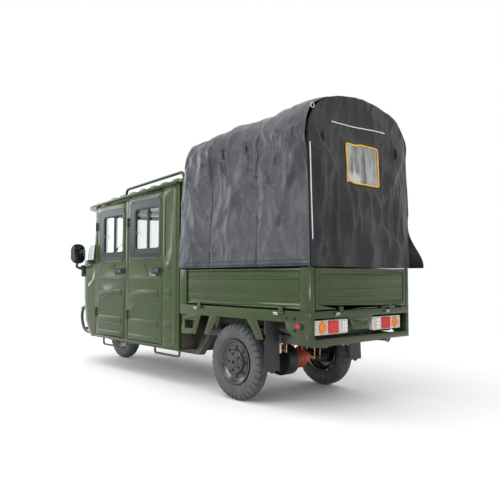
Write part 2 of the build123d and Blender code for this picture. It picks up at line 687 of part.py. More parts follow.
# Mud flaps behind the rear wheels, hung on the bearer, with a notched foot
with BuildPart() as mud_flaps:
    flap_mid = (FLAP_IN_Y + FLAP_OUT_Y) / 2
    with BuildSketch(cross_plane(BEARER_XS[1] - BEARER_W / 2 - SEAT_GAP - FLAP_T)):
        Polygon((FLAP_IN_Y + 14, FLAP_TOP_Z), (FLAP_OUT_Y - 34, FLAP_TOP_Z), (FLAP_OUT_Y - 8, 470),
                (FLAP_OUT_Y, 246), (FLAP_OUT_Y - 38, 250), (flap_mid, 232),
                (FLAP_IN_Y + 36, 250), (FLAP_IN_Y, 244), (FLAP_IN_Y + 8, 470), align=None)
    extrude(amount=FLAP_T)
    mirror(about=Plane.XZ)
finish(mud_flaps, "mud_flaps")

# Bed hinges. Each is a pin in a fixed barrel, and the board's barrel turns on the pin beside it.
SIDE_HINGE_XS = (BOARD_X0 + 190, BOARD_X1 - 160)
GATE_HINGE_YS = (-280, 280)
SIDE_HINGE_Y = HALF_W + BED_HINGE_STANDOFF
GATE_HINGE_X = BED_REAR_X - BED_HINGE_STANDOFF
SIDE_HINGES = [Plane(origin=(x, HALF_W, BED_HINGE_Z), x_dir=(0, 1, 0), z_dir=(1, 0, 0))
               for x in SIDE_HINGE_XS]
GATE_HINGES = [Plane(origin=(BED_REAR_X, y, BED_HINGE_Z), x_dir=(-1, 0, 0), z_dir=(0, 1, 0))
               for y in GATE_HINGE_YS]


def add_pin(plane):
    """The fixed barrel of a hinge on its foot, with the pin that stands out of it."""
    with BuildSketch(plane.offset(PIN_SIDE_GAP)) as barrel:
        with Locations((BED_HINGE_STANDOFF, 0)):
            Circle(BED_HINGE_R)
        with Locations((BED_HINGE_STANDOFF / 2, -6)):
            Rectangle(BED_HINGE_STANDOFF, 16)
    extrude(barrel.sketch, amount=BED_BARREL_L)
    with BuildSketch(plane.offset(-BED_BARREL_L - BED_PIN_END)) as pin:
        with Locations((BED_HINGE_STANDOFF, 0)):
            Circle(BED_PIN_R)
    extrude(pin.sketch, amount=BED_BARREL_L + 2 * BED_PIN_END)


with BuildPart() as bed_hinges:
    for plane in SIDE_HINGES:
        add_pin(plane)
    mirror(about=Plane.XZ)
    for plane in GATE_HINGES:
        add_pin(plane)
finish(bed_hinges, "bed_hinges")


def add_barrel(plane):
    """The moving barrel of a hinge, with the strap that reaches up and back to the board."""
    strap_x = 5
    strap_z = BOARD_Z - BED_HINGE_Z + 2
    with BuildSketch(plane) as barrel:
        with Locations((BED_HINGE_STANDOFF, 0)):
            Circle(BED_HINGE_R)
        Polygon((strap_x, 0), (strap_x + 5, 0), (strap_x + 5, strap_z + 12), (-10, strap_z + 12),
                (-10, strap_z), (strap_x, strap_z), align=None)
        with Locations((BED_HINGE_STANDOFF, 0)):
            Circle(BED_PIN_R + PIN_FIT, mode=Mode.SUBTRACT)
    extrude(barrel.sketch, amount=-BED_BARREL_L)


# Drop sides and tailgate: a framed sheet with pressed bands
with BuildPart() as side_board_left:
    sheet_y = BOARD_Y + BOARD_T - BAND_RELIEF
    board_top = BED_TOP_Z - 4
    block(BOARD_X0, BOARD_X1, BOARD_Y, sheet_y, BOARD_Z, board_top)
    for z0, z1 in ((BOARD_Z, BOARD_Z + 24), (board_top - 14, board_top)):
        block(BOARD_X0, BOARD_X1, BOARD_Y, BOARD_Y + BOARD_T, z0, z1)
    for z0, z1 in BANDS:
        side_plate(((BOARD_X0 + 8, z0), (BOARD_X0 + 8, z1), (BOARD_X1 - 8, z1),
                    (BOARD_X1 - 8, z0)), sheet_y, BOARD_Y + BOARD_T, taper=40)
    for plane in SIDE_HINGES:
        add_barrel(plane)
finish(side_board_left, "side_board_left")
with BuildPart() as side_board_right:
    mirror(side_board_left.part, about=Plane.XZ)
finish(side_board_right, "side_board_right")

with BuildPart() as tailgate:
    gate_x = BED_REAR_X + BOARD_T
    sheet_x = BED_REAR_X + BAND_RELIEF
    block(sheet_x, gate_x, -GATE_HALF_W, GATE_HALF_W, BOARD_Z, board_top)
    for z0, z1 in ((BOARD_Z, BOARD_Z + 34), (board_top - 18, board_top)):
        block(BED_REAR_X, gate_x, -GATE_HALF_W, GATE_HALF_W, z0, z1)
    for hand in (1, -1):
        block(BED_REAR_X, gate_x, hand * (GATE_HALF_W - 26), hand * GATE_HALF_W, BOARD_Z, board_top)
    with BuildSketch(Plane(origin=(sheet_x, 0, 0), x_dir=(0, -1, 0), z_dir=(-1, 0, 0))):
        for z0, z1 in GATE_BANDS:
            with Locations((0, (z0 + z1) / 2)):
                Rectangle(2 * GATE_HALF_W - 76, z1 - z0)
    extrude(amount=BAND_RELIEF, taper=40)
    for plane in GATE_HINGES:
        add_barrel(plane)
finish(tailgate, "tailgate")

# Canopy: canvas over bent hoops. Cross sections are drawn in (y, z) on leaning planes.


def arch_line(inset, top_z, foot_z):
    """Open arch: straight sides, round shoulders and a flatter crown, all in line."""
    half = CANOPY_HALF_W - inset
    rise = top_z - inset - CANOPY_SHOULDER_Z
    shoulder_r = rise - CROWN_RISE
    centre_y = half - shoulder_r
    crown_r = (centre_y**2 + rise**2 - shoulder_r**2) / (2 * CROWN_RISE)
    crown_z = CANOPY_SHOULDER_Z + rise - crown_r
    joint_y = centre_y * crown_r / (crown_r - shoulder_r)
    joint_z = crown_z + (CANOPY_SHOULDER_Z - crown_z) * crown_r / (crown_r - shoulder_r)
    with BuildLine() as arch:
        right = Line((-half, foot_z), (-half, CANOPY_SHOULDER_Z))
        shoulder = TangentArc(right @ 1, (-joint_y, joint_z), tangent=right % 1)
        crown = TangentArc(shoulder @ 1, (joint_y, joint_z), tangent=shoulder % 1)
        other = TangentArc(crown @ 1, (half, CANOPY_SHOULDER_Z), tangent=crown % 1)
        Line(other @ 1, (half, foot_z))
    return arch.line


def leaning_plane(x, lean):
    """A cross plane through x at the canopy's foot, its top moved forward by lean."""
    angle = atan(lean / (CANOPY_REAR_TOP_Z - CANOPY_BOTTOM_Z))
    up = Vector(sin(angle), 0, cos(angle))
    return Plane(origin=Vector(x, 0, CANOPY_BOTTOM_Z) - up * CANOPY_BOTTOM_Z,
                 x_dir=(0, 1, 0), z_dir=(cos(angle), 0, -sin(angle)))


REAR_SHEET = leaning_plane(CANOPY_REAR_X, CANOPY_REAR_LEAN)
FRONT_SHEET = leaning_plane(CANOPY_FRONT_X, -CANOPY_FRONT_LEAN)


def canopy_body(inset, foot_z):
    """The closed body under the canvas, shrunk by inset all round."""
    with BuildPart() as body:
        for plane, top_z in ((REAR_SHEET.offset(inset), CANOPY_REAR_TOP_Z),
                             (FRONT_SHEET.offset(-inset), CANOPY_FRONT_TOP_Z)):
            with BuildSketch(plane):
                with BuildLine():
                    add(arch_line(inset, top_z, foot_z))
                    half = CANOPY_HALF_W - inset
                    Line((half, foot_z), (-half, foot_z))
                make_face()
        loft(ruled=True)
    return body.part


with BuildPart() as canopy_shell:
    add(canopy_body(0, CANOPY_BOTTOM_Z - 40))
    add(canopy_body(CANOPY_T, CANOPY_BOTTOM_Z - 80), mode=Mode.SUBTRACT)
    split(bisect_by=Plane.XY.offset(CANOPY_BOTTOM_Z), keep=Keep.TOP)

with BuildPart() as canopy_top:
    add(canopy_shell.part)
    split(bisect_by=Plane.XY.offset(CANOPY_SHOULDER_Z), keep=Keep.TOP)
finish(canopy_top, "canopy_top")

with BuildPart() as canopy_walls:
    add(canopy_shell.part)
    split(bisect_by=Plane.XY.offset(CANOPY_SHOULDER_Z - SEAT_GAP), keep=Keep.BOTTOM)
    corner_y = CANOPY_HALF_W - CANOPY_T - SEAT_GAP
    for hand in (1, -1):
        block(BED_REAR_X - 300, BED_FRONT_X + 300, hand * corner_y, hand * (corner_y + SEAT_GAP),
              CANOPY_BOTTOM_Z - 10, CANOPY_SHOULDER_Z + 10, mode=Mode.SUBTRACT)
finish(canopy_walls, "canopy_walls")

# Canopy frame: three hoops, the end pair on the corner posts, and the tubes that tie them
HOOP_INSET = CANOPY_T + HOOP_R + SEAT_GAP
hoop_low_z = BED_TOP_Z + SEAT_GAP
HOOPS = (  # share of the way from the rear hoop to the front one, foot height, slack
    (0, hoop_low_z - 30, 0.5),
    (0.5, hoop_low_z + 20, 4),
    (1, hoop_low_z - 30, 0.5),
)
rear_hoop = REAR_SHEET.offset(HOOP_INSET)
front_hoop = FRONT_SHEET.offset(-HOOP_INSET)
with BuildPart() as canopy_hoops:
    for share, foot_z, slack in HOOPS:
        lean = CANOPY_REAR_LEAN - share * (CANOPY_REAR_LEAN + CANOPY_FRONT_LEAN)
        rear_foot = CANOPY_REAR_X + HOOP_INSET
        front_foot = CANOPY_FRONT_X - HOOP_INSET
        plane = leaning_plane(rear_foot + share * (front_foot - rear_foot), lean)
        top_z = CANOPY_REAR_TOP_Z - share * (CANOPY_REAR_TOP_Z - CANOPY_FRONT_TOP_Z)
        hoop_path = plane.from_local_coords(arch_line(HOOP_INSET + slack, top_z, foot_z))
        tube(hoop_path, HOOP_R)
    tie_y = CANOPY_HALF_W - HOOP_INSET - HOOPS[0][2]
    for hand in (1, -1):
        bar_x(hand * tie_y, hoop_low_z + 20, HOOP_R, rear_foot, front_foot)
    split(bisect_by=Plane.XY.offset(hoop_low_z), keep=Keep.TOP)
finish(canopy_hoops, "canopy_hoops")

# Cab floor with its sills, and the bulkhead ahead of the driver's feet
INNER_Y = HALF_W - WALL_T
with BuildPart() as cab_floor:
    block(CAB_REAR_X, A_FRONT_X, -HALF_W, HALF_W, SILL_Z, FLOOR_TOP_Z)
    block(A_FRONT_X - PANEL_T, A_FRONT_X, -INNER_Y + CLEAR, INNER_Y - CLEAR, SILL_Z,
          BULKHEAD_TOP_Z)
finish(cab_floor, "cab_floor")

# Posts of the cab: A and B pillars and the quarter panel behind the rear door, with the
# fixed half of each door hinge
PILLAR_Z = FLOOR_TOP_Z + SEAT_GAP
HINGE_Y = HALF_W + DOOR_HINGE_R + 1
DOOR_HINGE_XS = {"front": A_PILLAR_X - CLEAR / 2, "rear": B_PILLAR_X - CLEAR / 2}
with BuildPart() as cab_pillars:
    for x0, x1 in ((A_PILLAR_X, A_FRONT_X), (B_PILLAR_X, B_PILLAR_X + B_PILLAR_L),
                   (CAB_REAR_X, QUARTER_FRONT_X)):
        side_plate(((x0, PILLAR_Z), (x1, PILLAR_Z), (x1, roof_z(x1) - SEAT_GAP),
                    (x0, roof_z(x0) - SEAT_GAP)), INNER_Y, HALF_W)
    for top, bottom in QUARTER_BANDS:
        mid = (top + bottom) / 2
        tip_x = CAB_REAR_X + 104
        side_plate(((QUARTER_FRONT_X - 14, top), (QUARTER_FRONT_X - 14, bottom),
                    (tip_x + 26, bottom), (tip_x, mid), (tip_x + 26, top)),
                   HALF_W, HALF_W + SWAGE_RELIEF, taper=40)
    column_x0, column_x1 = [CAB_REAR_X + x for x in COLUMN]
    side_plate(((column_x0, PILLAR_Z + 20), (column_x1, PILLAR_Z + 20),
                (column_x1, roof_z(column_x1) - 20), (column_x0, roof_z(column_x1) - 20)),
               HALF_W, HALF_W + SWAGE_RELIEF, taper=40)
    side_plate([(CAB_REAR_X + x, z) for x, z in QUARTER_PRESSING], HALF_W - PRESSING_D,
               HALF_W + 1, mode=Mode.SUBTRACT)
    hatch_x, hatch_z, hatch_r = FLAP_HATCH
    bar_y(CAB_REAR_X + hatch_x, hatch_z, hatch_r, HALF_W - 1, HALF_W + 4)
    for hinge_x in DOOR_HINGE_XS.values():
        for hinge_z in DOOR_HINGE_ZS:
            bar_z(hinge_x, HINGE_Y, DOOR_PIN_R, hinge_z - DOOR_KNUCKLE_H / 2 - 8,
                  hinge_z + DOOR_KNUCKLE_H / 2 + 8)
            for side in (-1, 1):
                z0 = hinge_z + side * (DOOR_KNUCKLE_H / 2 + PIN_SIDE_GAP)
                bar_z(hinge_x, HINGE_Y, DOOR_HINGE_R, z0, z0 + side * 12)
                block(hinge_x, hinge_x + DOOR_LEAF_L, HALF_W - 1, HALF_W + DOOR_LEAF_T,
                      z0, z0 + side * 12)
    mirror(about=Plane.XZ)
finish(cab_pillars, "cab_pillars")

# Rear wall of the cab with its window
with BuildPart() as cab_rear_wall:
    wall_x = CAB_REAR_X + PANEL_T
    wall_y = INNER_Y - SEAT_GAP
    block(CAB_REAR_X, wall_x, -wall_y, wall_y, PILLAR_Z, roof_z(wall_x) - SEAT_GAP)
    with BuildSketch(cross_plane(CAB_REAR_X - 1)):
        with Locations((0, REAR_WINDOW_Z)):
            RectangleRounded(REAR_WINDOW_W, REAR_WINDOW_H, 40)
    extrude(amount=PANEL_T + 2, mode=Mode.SUBTRACT)
finish(cab_rear_wall, "cab_rear_wall")


def plan_outline(back_x, corner_x, inset=0):
    """Closed plan outline of the cab: straight sides, round corners and a bowed front."""
    turn = radians(CORNER_TURN)
    radius = CORNER_R - inset
    half = HALF_W - inset
    end_x = corner_x + radius * sin(turn)
    end_y = half - radius * (1 - cos(turn))
    front_x = end_x + end_y * tan((radians(90) - turn) / 2)
    mid_x = corner_x + radius * sin(turn / 2)
    mid_y = half - radius * (1 - cos(turn / 2))
    with BuildSketch() as outline:
        with BuildLine():
            Polyline((corner_x, -half), (back_x, -half), (back_x, half), (corner_x, half))
            ThreePointArc((corner_x, half), (mid_x, mid_y), (end_x, end_y))
            ThreePointArc((end_x, end_y), (front_x, 0), (end_x, -end_y))
            ThreePointArc((end_x, -end_y), (mid_x, -mid_y), (corner_x, -half))
        make_face()
    return outline.sketch


def cab_loft(sections, inset=0, grow=0, ruled=True):
    """The solid inside a stack of plan outlines, carried grow further at both ends."""
    ends = {0: -grow, len(sections) - 1: grow}
    with BuildPart() as solid:
        for index, (z, corner_dx) in enumerate(sections):
            with BuildSketch(Plane.XY.offset(z + ends.get(index, 0))):
                add(plan_outline(A_PILLAR_X - 260, FRONT_AXLE_X + corner_dx, inset))
        loft(ruled=ruled)
    return solid.part


# Nose: a hollow shell open behind, with the wheel arch and the headlamp holes cut
with BuildPart() as cab_nose:
    add(cab_loft(NOSE_SECTIONS))
    add(cab_loft(NOSE_SECTIONS, NOSE_T, 1), mode=Mode.SUBTRACT)
    split(bisect_by=Plane.YZ.offset(A_FRONT_X + SEAT_GAP), keep=Keep.TOP)
    with BuildSketch(Plane.YZ.offset(A_FRONT_X + 60)):
        with Locations((0, ARCH_TOP_Z - 300)):
            RectangleRounded(2 * ARCH_HALF_W, 600, 110)
    extrude(amount=700, mode=Mode.SUBTRACT)
    with BuildSketch(Plane.YZ.offset(FRONT_AXLE_X)):
        with Locations((HEADLAMP_Y, HEADLAMP_Z), (-HEADLAMP_Y, HEADLAMP_Z)):
            Circle(HEADLAMP_R)
    extrude(amount=400, mode=Mode.SUBTRACT)
    for start, stop in NOSE_CREASES:
        outline = [(FRONT_AXLE_X + x, z + dz)
                   for x, z, dz in ((*start, 0), (*start, -CREASE_W), (*stop, -CREASE_W), (*stop, 0))]
        for hand in (1, -1):
            side_plate(outline, hand * (HALF_W - 1), hand * (HALF_W + CREASE_RELIEF))
finish(cab_nose, "cab_nose")

with BuildPart() as headlamps:
    with BuildSketch(Plane.YZ.offset(FRONT_AXLE_X + 30)):
        with Locations((HEADLAMP_Y, HEADLAMP_Z), (-HEADLAMP_Y, HEADLAMP_Z)):
            Circle(HEADLAMP_R - SEAT_GAP)
    extrude(amount=HEADLAMP_FRONT - 30)
    fillet(headlamps.faces().filter_by(Axis.X).group_by(Axis.X)[-1].edges(), 14)
finish(headlamps, "headlamps")

# Cab glass: the curved windscreen from pillar to pillar, and the rear window
with BuildPart() as cab_glass:
    add(cab_loft(WINDSCREEN_SECTIONS))
    add(cab_loft(WINDSCREEN_SECTIONS, GLASS_T, 0.5), mode=Mode.SUBTRACT)
    split(bisect_by=Plane.YZ.offset(A_FRONT_X + SEAT_GAP), keep=Keep.TOP)
    split(bisect_by=ROOF_PLANE.offset(-SEAT_GAP), keep=Keep.BOTTOM)
    with BuildSketch(cross_plane(CAB_REAR_X + 3)):
        with Locations((0, REAR_WINDOW_Z)):
            RectangleRounded(REAR_WINDOW_W - 2 * SEAT_GAP, REAR_WINDOW_H - 2 * SEAT_GAP, 40)
    extrude(amount=PANE_T)
finish(cab_glass, "cab_glass")

# Dashboard under the windscreen, with an instrument hood
with BuildPart() as dashboard:
    dash_x = A_FRONT_X + DASH_SETBACK
    with BuildSketch(Plane.XY.offset(BELT_Z - 40)):
        add(plan_outline(A_PILLAR_X - 260, FRONT_AXLE_X + NOSE_SECTIONS[-1][1] - 1.5,
                         NOSE_T + SEAT_GAP))
    extrude(amount=34)
    split(bisect_by=Plane.YZ.offset(dash_x), keep=Keep.TOP)
    block(dash_x + 8, dash_x + 92, -110, 110, BELT_Z - 7, BELT_Z + 56)
finish(dashboard, "dashboard")

# Roof: a plate with a bowed front, a raised crown and pressed cross ribs
with BuildPart() as cab_roof:
    with BuildSketch(ROOF_PLANE):
        add(plan_outline(-ROOF_REAR_LIP, ROOF_CORNER_X - CAB_REAR_X, -ROOF_LIP))
    extrude(amount=ROOF_PLATE_T)
    with BuildSketch(ROOF_PLANE.offset(ROOF_PLATE_T)):
        add(plan_outline(-ROOF_REAR_LIP, ROOF_CORNER_X - CAB_REAR_X, -ROOF_LIP))
        add(plan_outline(-ROOF_REAR_LIP - 9, ROOF_CORNER_X - CAB_REAR_X, GUTTER_W - ROOF_LIP),
            mode=Mode.SUBTRACT)
    extrude(amount=GUTTER_H)
    with BuildSketch(ROOF_PLANE.offset(ROOF_PLATE_T)):
        with Locations(((CROWN_START + CROWN_END) / 2, 0)):
            Rectangle(CROWN_END - CROWN_START, 2 * CROWN_HALF_W)
    extrude(amount=CROWN_H, taper=CROWN_DRAFT)
    rib_pitch = (CROWN_END - CROWN_START - 2 * CROWN_H) / RIB_COUNT
    for rib in range(RIB_COUNT):
        rib_u = CROWN_START + CROWN_H + rib_pitch * (rib + 0.5)
        with BuildSketch(ROOF_PLANE.offset(ROOF_PLATE_T)):
            with Locations((rib_u, 0)):
                Rectangle(RIB_L, 2 * CROWN_HALF_W)
        extrude(amount=CROWN_H + RIB_RELIEF, taper=28)
finish(cab_roof, "cab_roof")

# Roof rails: one bent tube each side, its feet on the crown
with BuildPart() as roof_rails:
    crown_top = ROOF_PLATE_T + CROWN_H + SEAT_GAP
    side = ROOF_PLANE.origin + ROOF_PLANE.y_dir * RACK_Y
    with BuildLine(Plane(origin=side, x_dir=ROOF_PLANE.x_dir, z_dir=-ROOF_PLANE.y_dir)) as rack:
        FilletPolyline((RACK_START, crown_top - 20), (RACK_START + 40, crown_top + RACK_RISE),
                       (RACK_END - 40, crown_top + RACK_RISE), (RACK_END, crown_top - 20),
                       radius=34)
    tube(rack.line, RACK_R)
    split(bisect_by=ROOF_PLANE.offset(crown_top + RIB_RELIEF), keep=Keep.TOP)
    mirror(about=Plane.XZ)
finish(roof_rails, "roof_rails")

# Doors: a thick panel with the window cut, a window frame with its bar, pressed bands, the
# handle and the moving half of the hinges. All x values are from the door's rear edge.
DOORS = (  # name, rear edge, front edge, frame (x0, x1, z0, z1), opening, bar, bands, handle,
    # pressing round the handle (x, z)
    ("front", FRONT_DOOR_X, A_PILLAR_X - CLEAR, (21, 540, 1067, 1600), (43, 455, 1115, 1530),
     (215, 247), (65, 399, 545), 35, ((222, 1040), (196, 934), (14, 930), (14, 1040))),
    ("rear", REAR_DOOR_X, B_PILLAR_X - CLEAR, (25, 567, 1085, 1635), (47, 485, 1130, 1556),
     (243, 272), (63, 402, 575), 21, ((302, 1034), (237, 928), (12, 924), (12, 1034))),
)
for name, x0, x1, frame, opening, bar, bands, handle_x, pressing in DOORS:
    hinge_x = DOOR_HINGE_XS[name]
    with BuildPart() as door:
        side_plate(((x0, DOOR_Z), (x1, DOOR_Z), (x1, roof_z(x1) - DOOR_TOP_GAP),
                    (x0, roof_z(x0) - DOOR_TOP_GAP)), INNER_Y, HALF_W)
        side_window(x0 + frame[0], x0 + frame[1], frame[2], frame[3],
                    FRAME_CORNER_R, HALF_W - 1, HALF_W + FRAME_RELIEF)
        side_window(x0 + frame[0] + FRAME_RIM_W, x0 + frame[1] - FRAME_RIM_W,
                    frame[2] + FRAME_RIM_W, frame[3] - FRAME_RIM_W, FRAME_CORNER_R - FRAME_RIM_W,
                    HALF_W + FRAME_RELIEF - FRAME_RIM_H, HALF_W + 20, mode=Mode.SUBTRACT)
        side_window(x0 + opening[0], x0 + opening[1], opening[2], opening[3],
                    WINDOW_CORNER_R, INNER_Y - 1, HALF_W + 20, mode=Mode.SUBTRACT)
        block(x0 + bar[0], x0 + bar[1], INNER_Y + 16, HALF_W - 6,
              opening[2] - 4, opening[3] + 4)
        rear_end, knee, front_end = [x0 + x for x in bands]
        for top, bottom, drop in DOOR_BANDS:
            side_plate(((rear_end, top), (knee, top), (front_end, top - drop),
                        (front_end, bottom - drop), (knee - 20, bottom), (rear_end, bottom)),
                       HALF_W, HALF_W + SWAGE_RELIEF, taper=40)
        side_plate([(x0 + x, z) for x, z in pressing], HALF_W - PRESSING_D, HALF_W + 1,
                   mode=Mode.SUBTRACT)
        rib_top, rib_bottom, rib_relief = BELT_RIB
        side_plate(((x0 + 12, rib_top), (x0 + 12, rib_bottom), (x1 - 12, rib_bottom),
                    (x1 - 12, rib_top)), HALF_W, HALF_W + rib_relief, taper=30)
        handle_x0 = x0 + handle_x
        block(handle_x0, handle_x0 + HANDLE_L, HALF_W - PRESSING_D - 1, HALF_W + HANDLE_D,
              HANDLE_Z - HANDLE_H / 2, HANDLE_Z + HANDLE_H / 2)
        fillet(door.faces().sort_by(Axis.Y)[-1].edges(), 9)
        for hinge_z in DOOR_HINGE_ZS:
            z0 = hinge_z - DOOR_KNUCKLE_H / 2
            z1 = hinge_z + DOOR_KNUCKLE_H / 2
            bar_z(hinge_x, HINGE_Y, DOOR_HINGE_R, z0, z1)
            block(hinge_x - DOOR_LEAF_L, hinge_x, HALF_W - 1, HALF_W + DOOR_LEAF_T, z0, z1)
            bar_z(hinge_x, HINGE_Y, DOOR_PIN_R + PIN_FIT, z0, z1, mode=Mode.SUBTRACT)
    finish(door, f"door_{name}_left")
    with BuildPart() as door_right:
        mirror(door.part, about=Plane.XZ)
    finish(door_right, f"door_{name}_right")
    with BuildPart() as pane:
        pane_y = INNER_Y + 16 - SEAT_GAP
        side_window(x0 + opening[0] + SEAT_GAP, x0 + opening[1] - SEAT_GAP,
                    opening[2] + SEAT_GAP, opening[3] - SEAT_GAP, WINDOW_CORNER_R,
                    pane_y - PANE_T, pane_y)
    finish(pane, f"window_{name}_left")
    with BuildPart() as pane_right:
        mirror(pane.part, about=Plane.XZ)
    finish(pane_right, f"window_{name}_right")

# Seats: a box and cushions for each row
SEATS = (  # name, rear end of the back cushion, front end of the seat cushion
    ("front", B_PILLAR_X - 4, B_PILLAR_X + 440),
    ("rear", CAB_REAR_X + PANEL_T + SEAT_GAP, CAB_REAR_X + PANEL_T + 520),
)
with BuildPart() as seat_boxes:
    for name, x0, x1 in SEATS:
        block(x0 + 6, x1 - 50, -SEAT_HALF_W + 30, SEAT_HALF_W - 30, PILLAR_Z, SEAT_Z)
finish(seat_boxes, "seat_boxes")
for name, x0, x1 in SEATS:
    with BuildPart() as seat:
        back_x = x0 + SEAT_BACK_T
        cushion_z = SEAT_Z + SEAT_GAP
        side_plate(((x0, cushion_z), (x1, cushion_z), (x1, cushion_z + SEAT_CUSHION_T),
                    (back_x + 10, cushion_z + SEAT_CUSHION_T - 12),
                    (back_x - 10, cushion_z + SEAT_BACK_H), (x0, cushion_z + SEAT_BACK_H)),
                   -SEAT_HALF_W, SEAT_HALF_W)
        fillet(seat.faces().filter_by(Axis.Y).edges(), 18)
    finish(seat, f"seat_{name}")

# Steering. The steering plane stands on the front axle, square to the raked axis.
rake = radians(RAKE)
STEER_AXIS = Vector(-sin(rake), 0, cos(rake))
STEER_PLANE = Plane(origin=(FRONT_AXLE_X, 0, TYRE_R), x_dir=(cos(rake), 0, sin(rake)),
                    z_dir=STEER_AXIS)
with BuildPart() as fork:
    with BuildSketch(STEER_PLANE):
        with Locations((0, LEG_Y), (0, -LEG_Y)):
            Circle(LEG_R)
    extrude(amount=CROWN_S)
    with BuildSketch(STEER_PLANE.offset(CROWN_S)):
        RectangleRounded(56, 2 * LEG_Y + 44, 20)
    extrude(amount=CROWN_T)
    with BuildSketch(STEER_PLANE.offset(CROWN_S)):
        Circle(STEM_R)
    extrude(amount=STEM_TOP_S - CROWN_S)
    bar_y(FRONT_AXLE_X, TYRE_R, FRONT_AXLE_R, -LEG_Y - 24, LEG_Y + 24)
    for hand in (1, -1):
        bar_y(FRONT_AXLE_X, TYRE_R, LEG_R + 5, hand * (LEG_Y - LEG_R + 1), hand * (LEG_Y + LEG_R))
finish(fork, "fork")

with BuildPart() as handlebar:
    bar_points = [STEER_PLANE.from_local_coords(Vector(*point)) for point in (
        (-60, -BAR_HALF_W, BAR_S + 70), (10, -190, BAR_S + 60), (0, -60, BAR_S),
        (0, 60, BAR_S), (10, 190, BAR_S + 60), (-60, BAR_HALF_W, BAR_S + 70))]
    with BuildLine() as bar_line:
        FilletPolyline(*bar_points, radius=40)
    tube(bar_line.line, BAR_R)
    with BuildSketch(STEER_PLANE.offset(STEM_TOP_S + SEAT_GAP)):
        Rectangle(52, 90)
    extrude(amount=BAR_S + BAR_R + 6 - STEM_TOP_S)
    for inner, outer in ((bar_points[1], bar_points[0]), (bar_points[4], bar_points[5])):
        along = (outer - inner).normalized()
        with BuildSketch(Plane(origin=outer - along * GRIP_L, z_dir=along)):
            Circle(BAR_R + 6)
        extrude(amount=GRIP_L)
finish(handlebar, "handlebar")

with BuildPart() as front_fender:
    with BuildSketch(Plane.XZ.offset(-FENDER_W / 2)):
        with BuildLine():
            ends = [(FRONT_AXLE_X + r * cos(radians(a)), TYRE_R + r * sin(radians(a)))
                    for a in FENDER_ANGLES for r in (FENDER_R, FENDER_R + FENDER_T)]
            CenterArc((FRONT_AXLE_X, TYRE_R), FENDER_R, FENDER_ANGLES[0],
                      FENDER_ANGLES[1] - FENDER_ANGLES[0])
            CenterArc((FRONT_AXLE_X, TYRE_R), FENDER_R + FENDER_T, FENDER_ANGLES[0],
                      FENDER_ANGLES[1] - FENDER_ANGLES[0])
            Line(ends[0], ends[1])
            Line(ends[2], ends[3])
        make_face()
    extrude(amount=FENDER_W)
    with BuildSketch(STEER_PLANE.offset(FENDER_R + 1)):
        Circle(16)
    extrude(amount=CROWN_S - FENDER_R - 1 - SEAT_GAP)
finish(front_fender, "front_fender")

# Head tube that carries the fork, with gusset plates to the bulkhead
with BuildPart() as head_tube:
    with BuildSketch(STEER_PLANE.offset(NECK_S)):
        Circle(NECK_R)
    extrude(amount=NECK_L)
    low = STEER_PLANE.from_local_coords(Vector(0, 0, NECK_S + 10))
    high = STEER_PLANE.from_local_coords(Vector(0, 0, NECK_S + NECK_L - 10))
    for hand in (1, -1):
        side_plate(((A_FRONT_X + SEAT_GAP, BULKHEAD_TOP_Z - 20), (A_FRONT_X + SEAT_GAP, GUSSET_Z),
                    (low.X, low.Z), (high.X, high.Z)), hand * (NECK_R - 8), hand * NECK_R)
    with BuildSketch(STEER_PLANE.offset(NECK_S - 1)):
        Circle(STEM_R + PIN_FIT)
    extrude(amount=NECK_L + 2, mode=Mode.SUBTRACT)
finish(head_tube, "head_tube")

# Mirrors: a rounded head each side on a bent arm from a mount at the corner of the nose
nose_skin = cab_loft(NOSE_SECTIONS, -SEAT_GAP)
with BuildPart() as mirrors:
    block(MIRROR_X - 18, MIRROR_X + 18, MIRROR_Y - MIRROR_W / 2, MIRROR_Y + MIRROR_W / 2,
          MIRROR_Z - MIRROR_H / 2, MIRROR_Z + MIRROR_H / 2)
    fillet(mirrors.edges().filter_by(Axis.X), MIRROR_ROUND)
    with Locations(Location((MIRROR_X + 82, MIRROR_Y - 118, 985), (0, 0, -25))):
        Box(*MIRROR_MOUNT)
    with BuildLine() as arm:
        FilletPolyline((MIRROR_X + 130, MIRROR_Y - 150, 1000), (MIRROR_X + 100, MIRROR_Y - 60, 1020),
                       (MIRROR_X + 20, MIRROR_Y, 1030), (MIRROR_X, MIRROR_Y, 1080), radius=16)
    tube(arm.line, 11)
    add(nose_skin, mode=Mode.SUBTRACT)
    mirror(about=Plane.XZ)
finish(mirrors, "mirrors")

# Bumper guard: a bent tube loop with arms back to the nose
with BuildPart() as bumper_guard:
    guard_x = FRONT_AXLE_X + FRONT_OVERHANG - GUARD_R
    for z in (GUARD_LOW_Z, GUARD_HIGH_Z):
        with BuildLine() as loop:
            FilletPolyline((guard_x - 400, -GUARD_HALF_W, z), (guard_x, -GUARD_HALF_W, z),
                           (guard_x, GUARD_HALF_W, z), (guard_x - 400, GUARD_HALF_W, z),
                           radius=150)
        tube(loop.line, GUARD_R)
    for y in (-300, 300):
        bar_z(guard_x, y, GUARD_R - 3, GUARD_LOW_Z, GUARD_HIGH_Z)
    add(nose_skin, mode=Mode.SUBTRACT)
    split(bisect_by=Plane.YZ.offset(guard_x - 380), keep=Keep.TOP)
finish(bumper_guard, "bumper_guard")

# Entry steps: tube loops hung under the cab floor
with BuildPart() as entry_steps:
    for x0, x1, z in STEPS:
        with BuildLine() as step:
            FilletPolyline((x0, STEP_Y, SILL_Z), (x0, STEP_Y, z), (x1, STEP_Y, z),
                           (x1, STEP_Y, SILL_Z), radius=26)
        tube(step.line, STEP_R)
    split(bisect_by=Plane.XY.offset(SILL_Z - SEAT_GAP), keep=Keep.BOTTOM)
    mirror(about=Plane.XZ)
finish(entry_steps, "entry_steps")
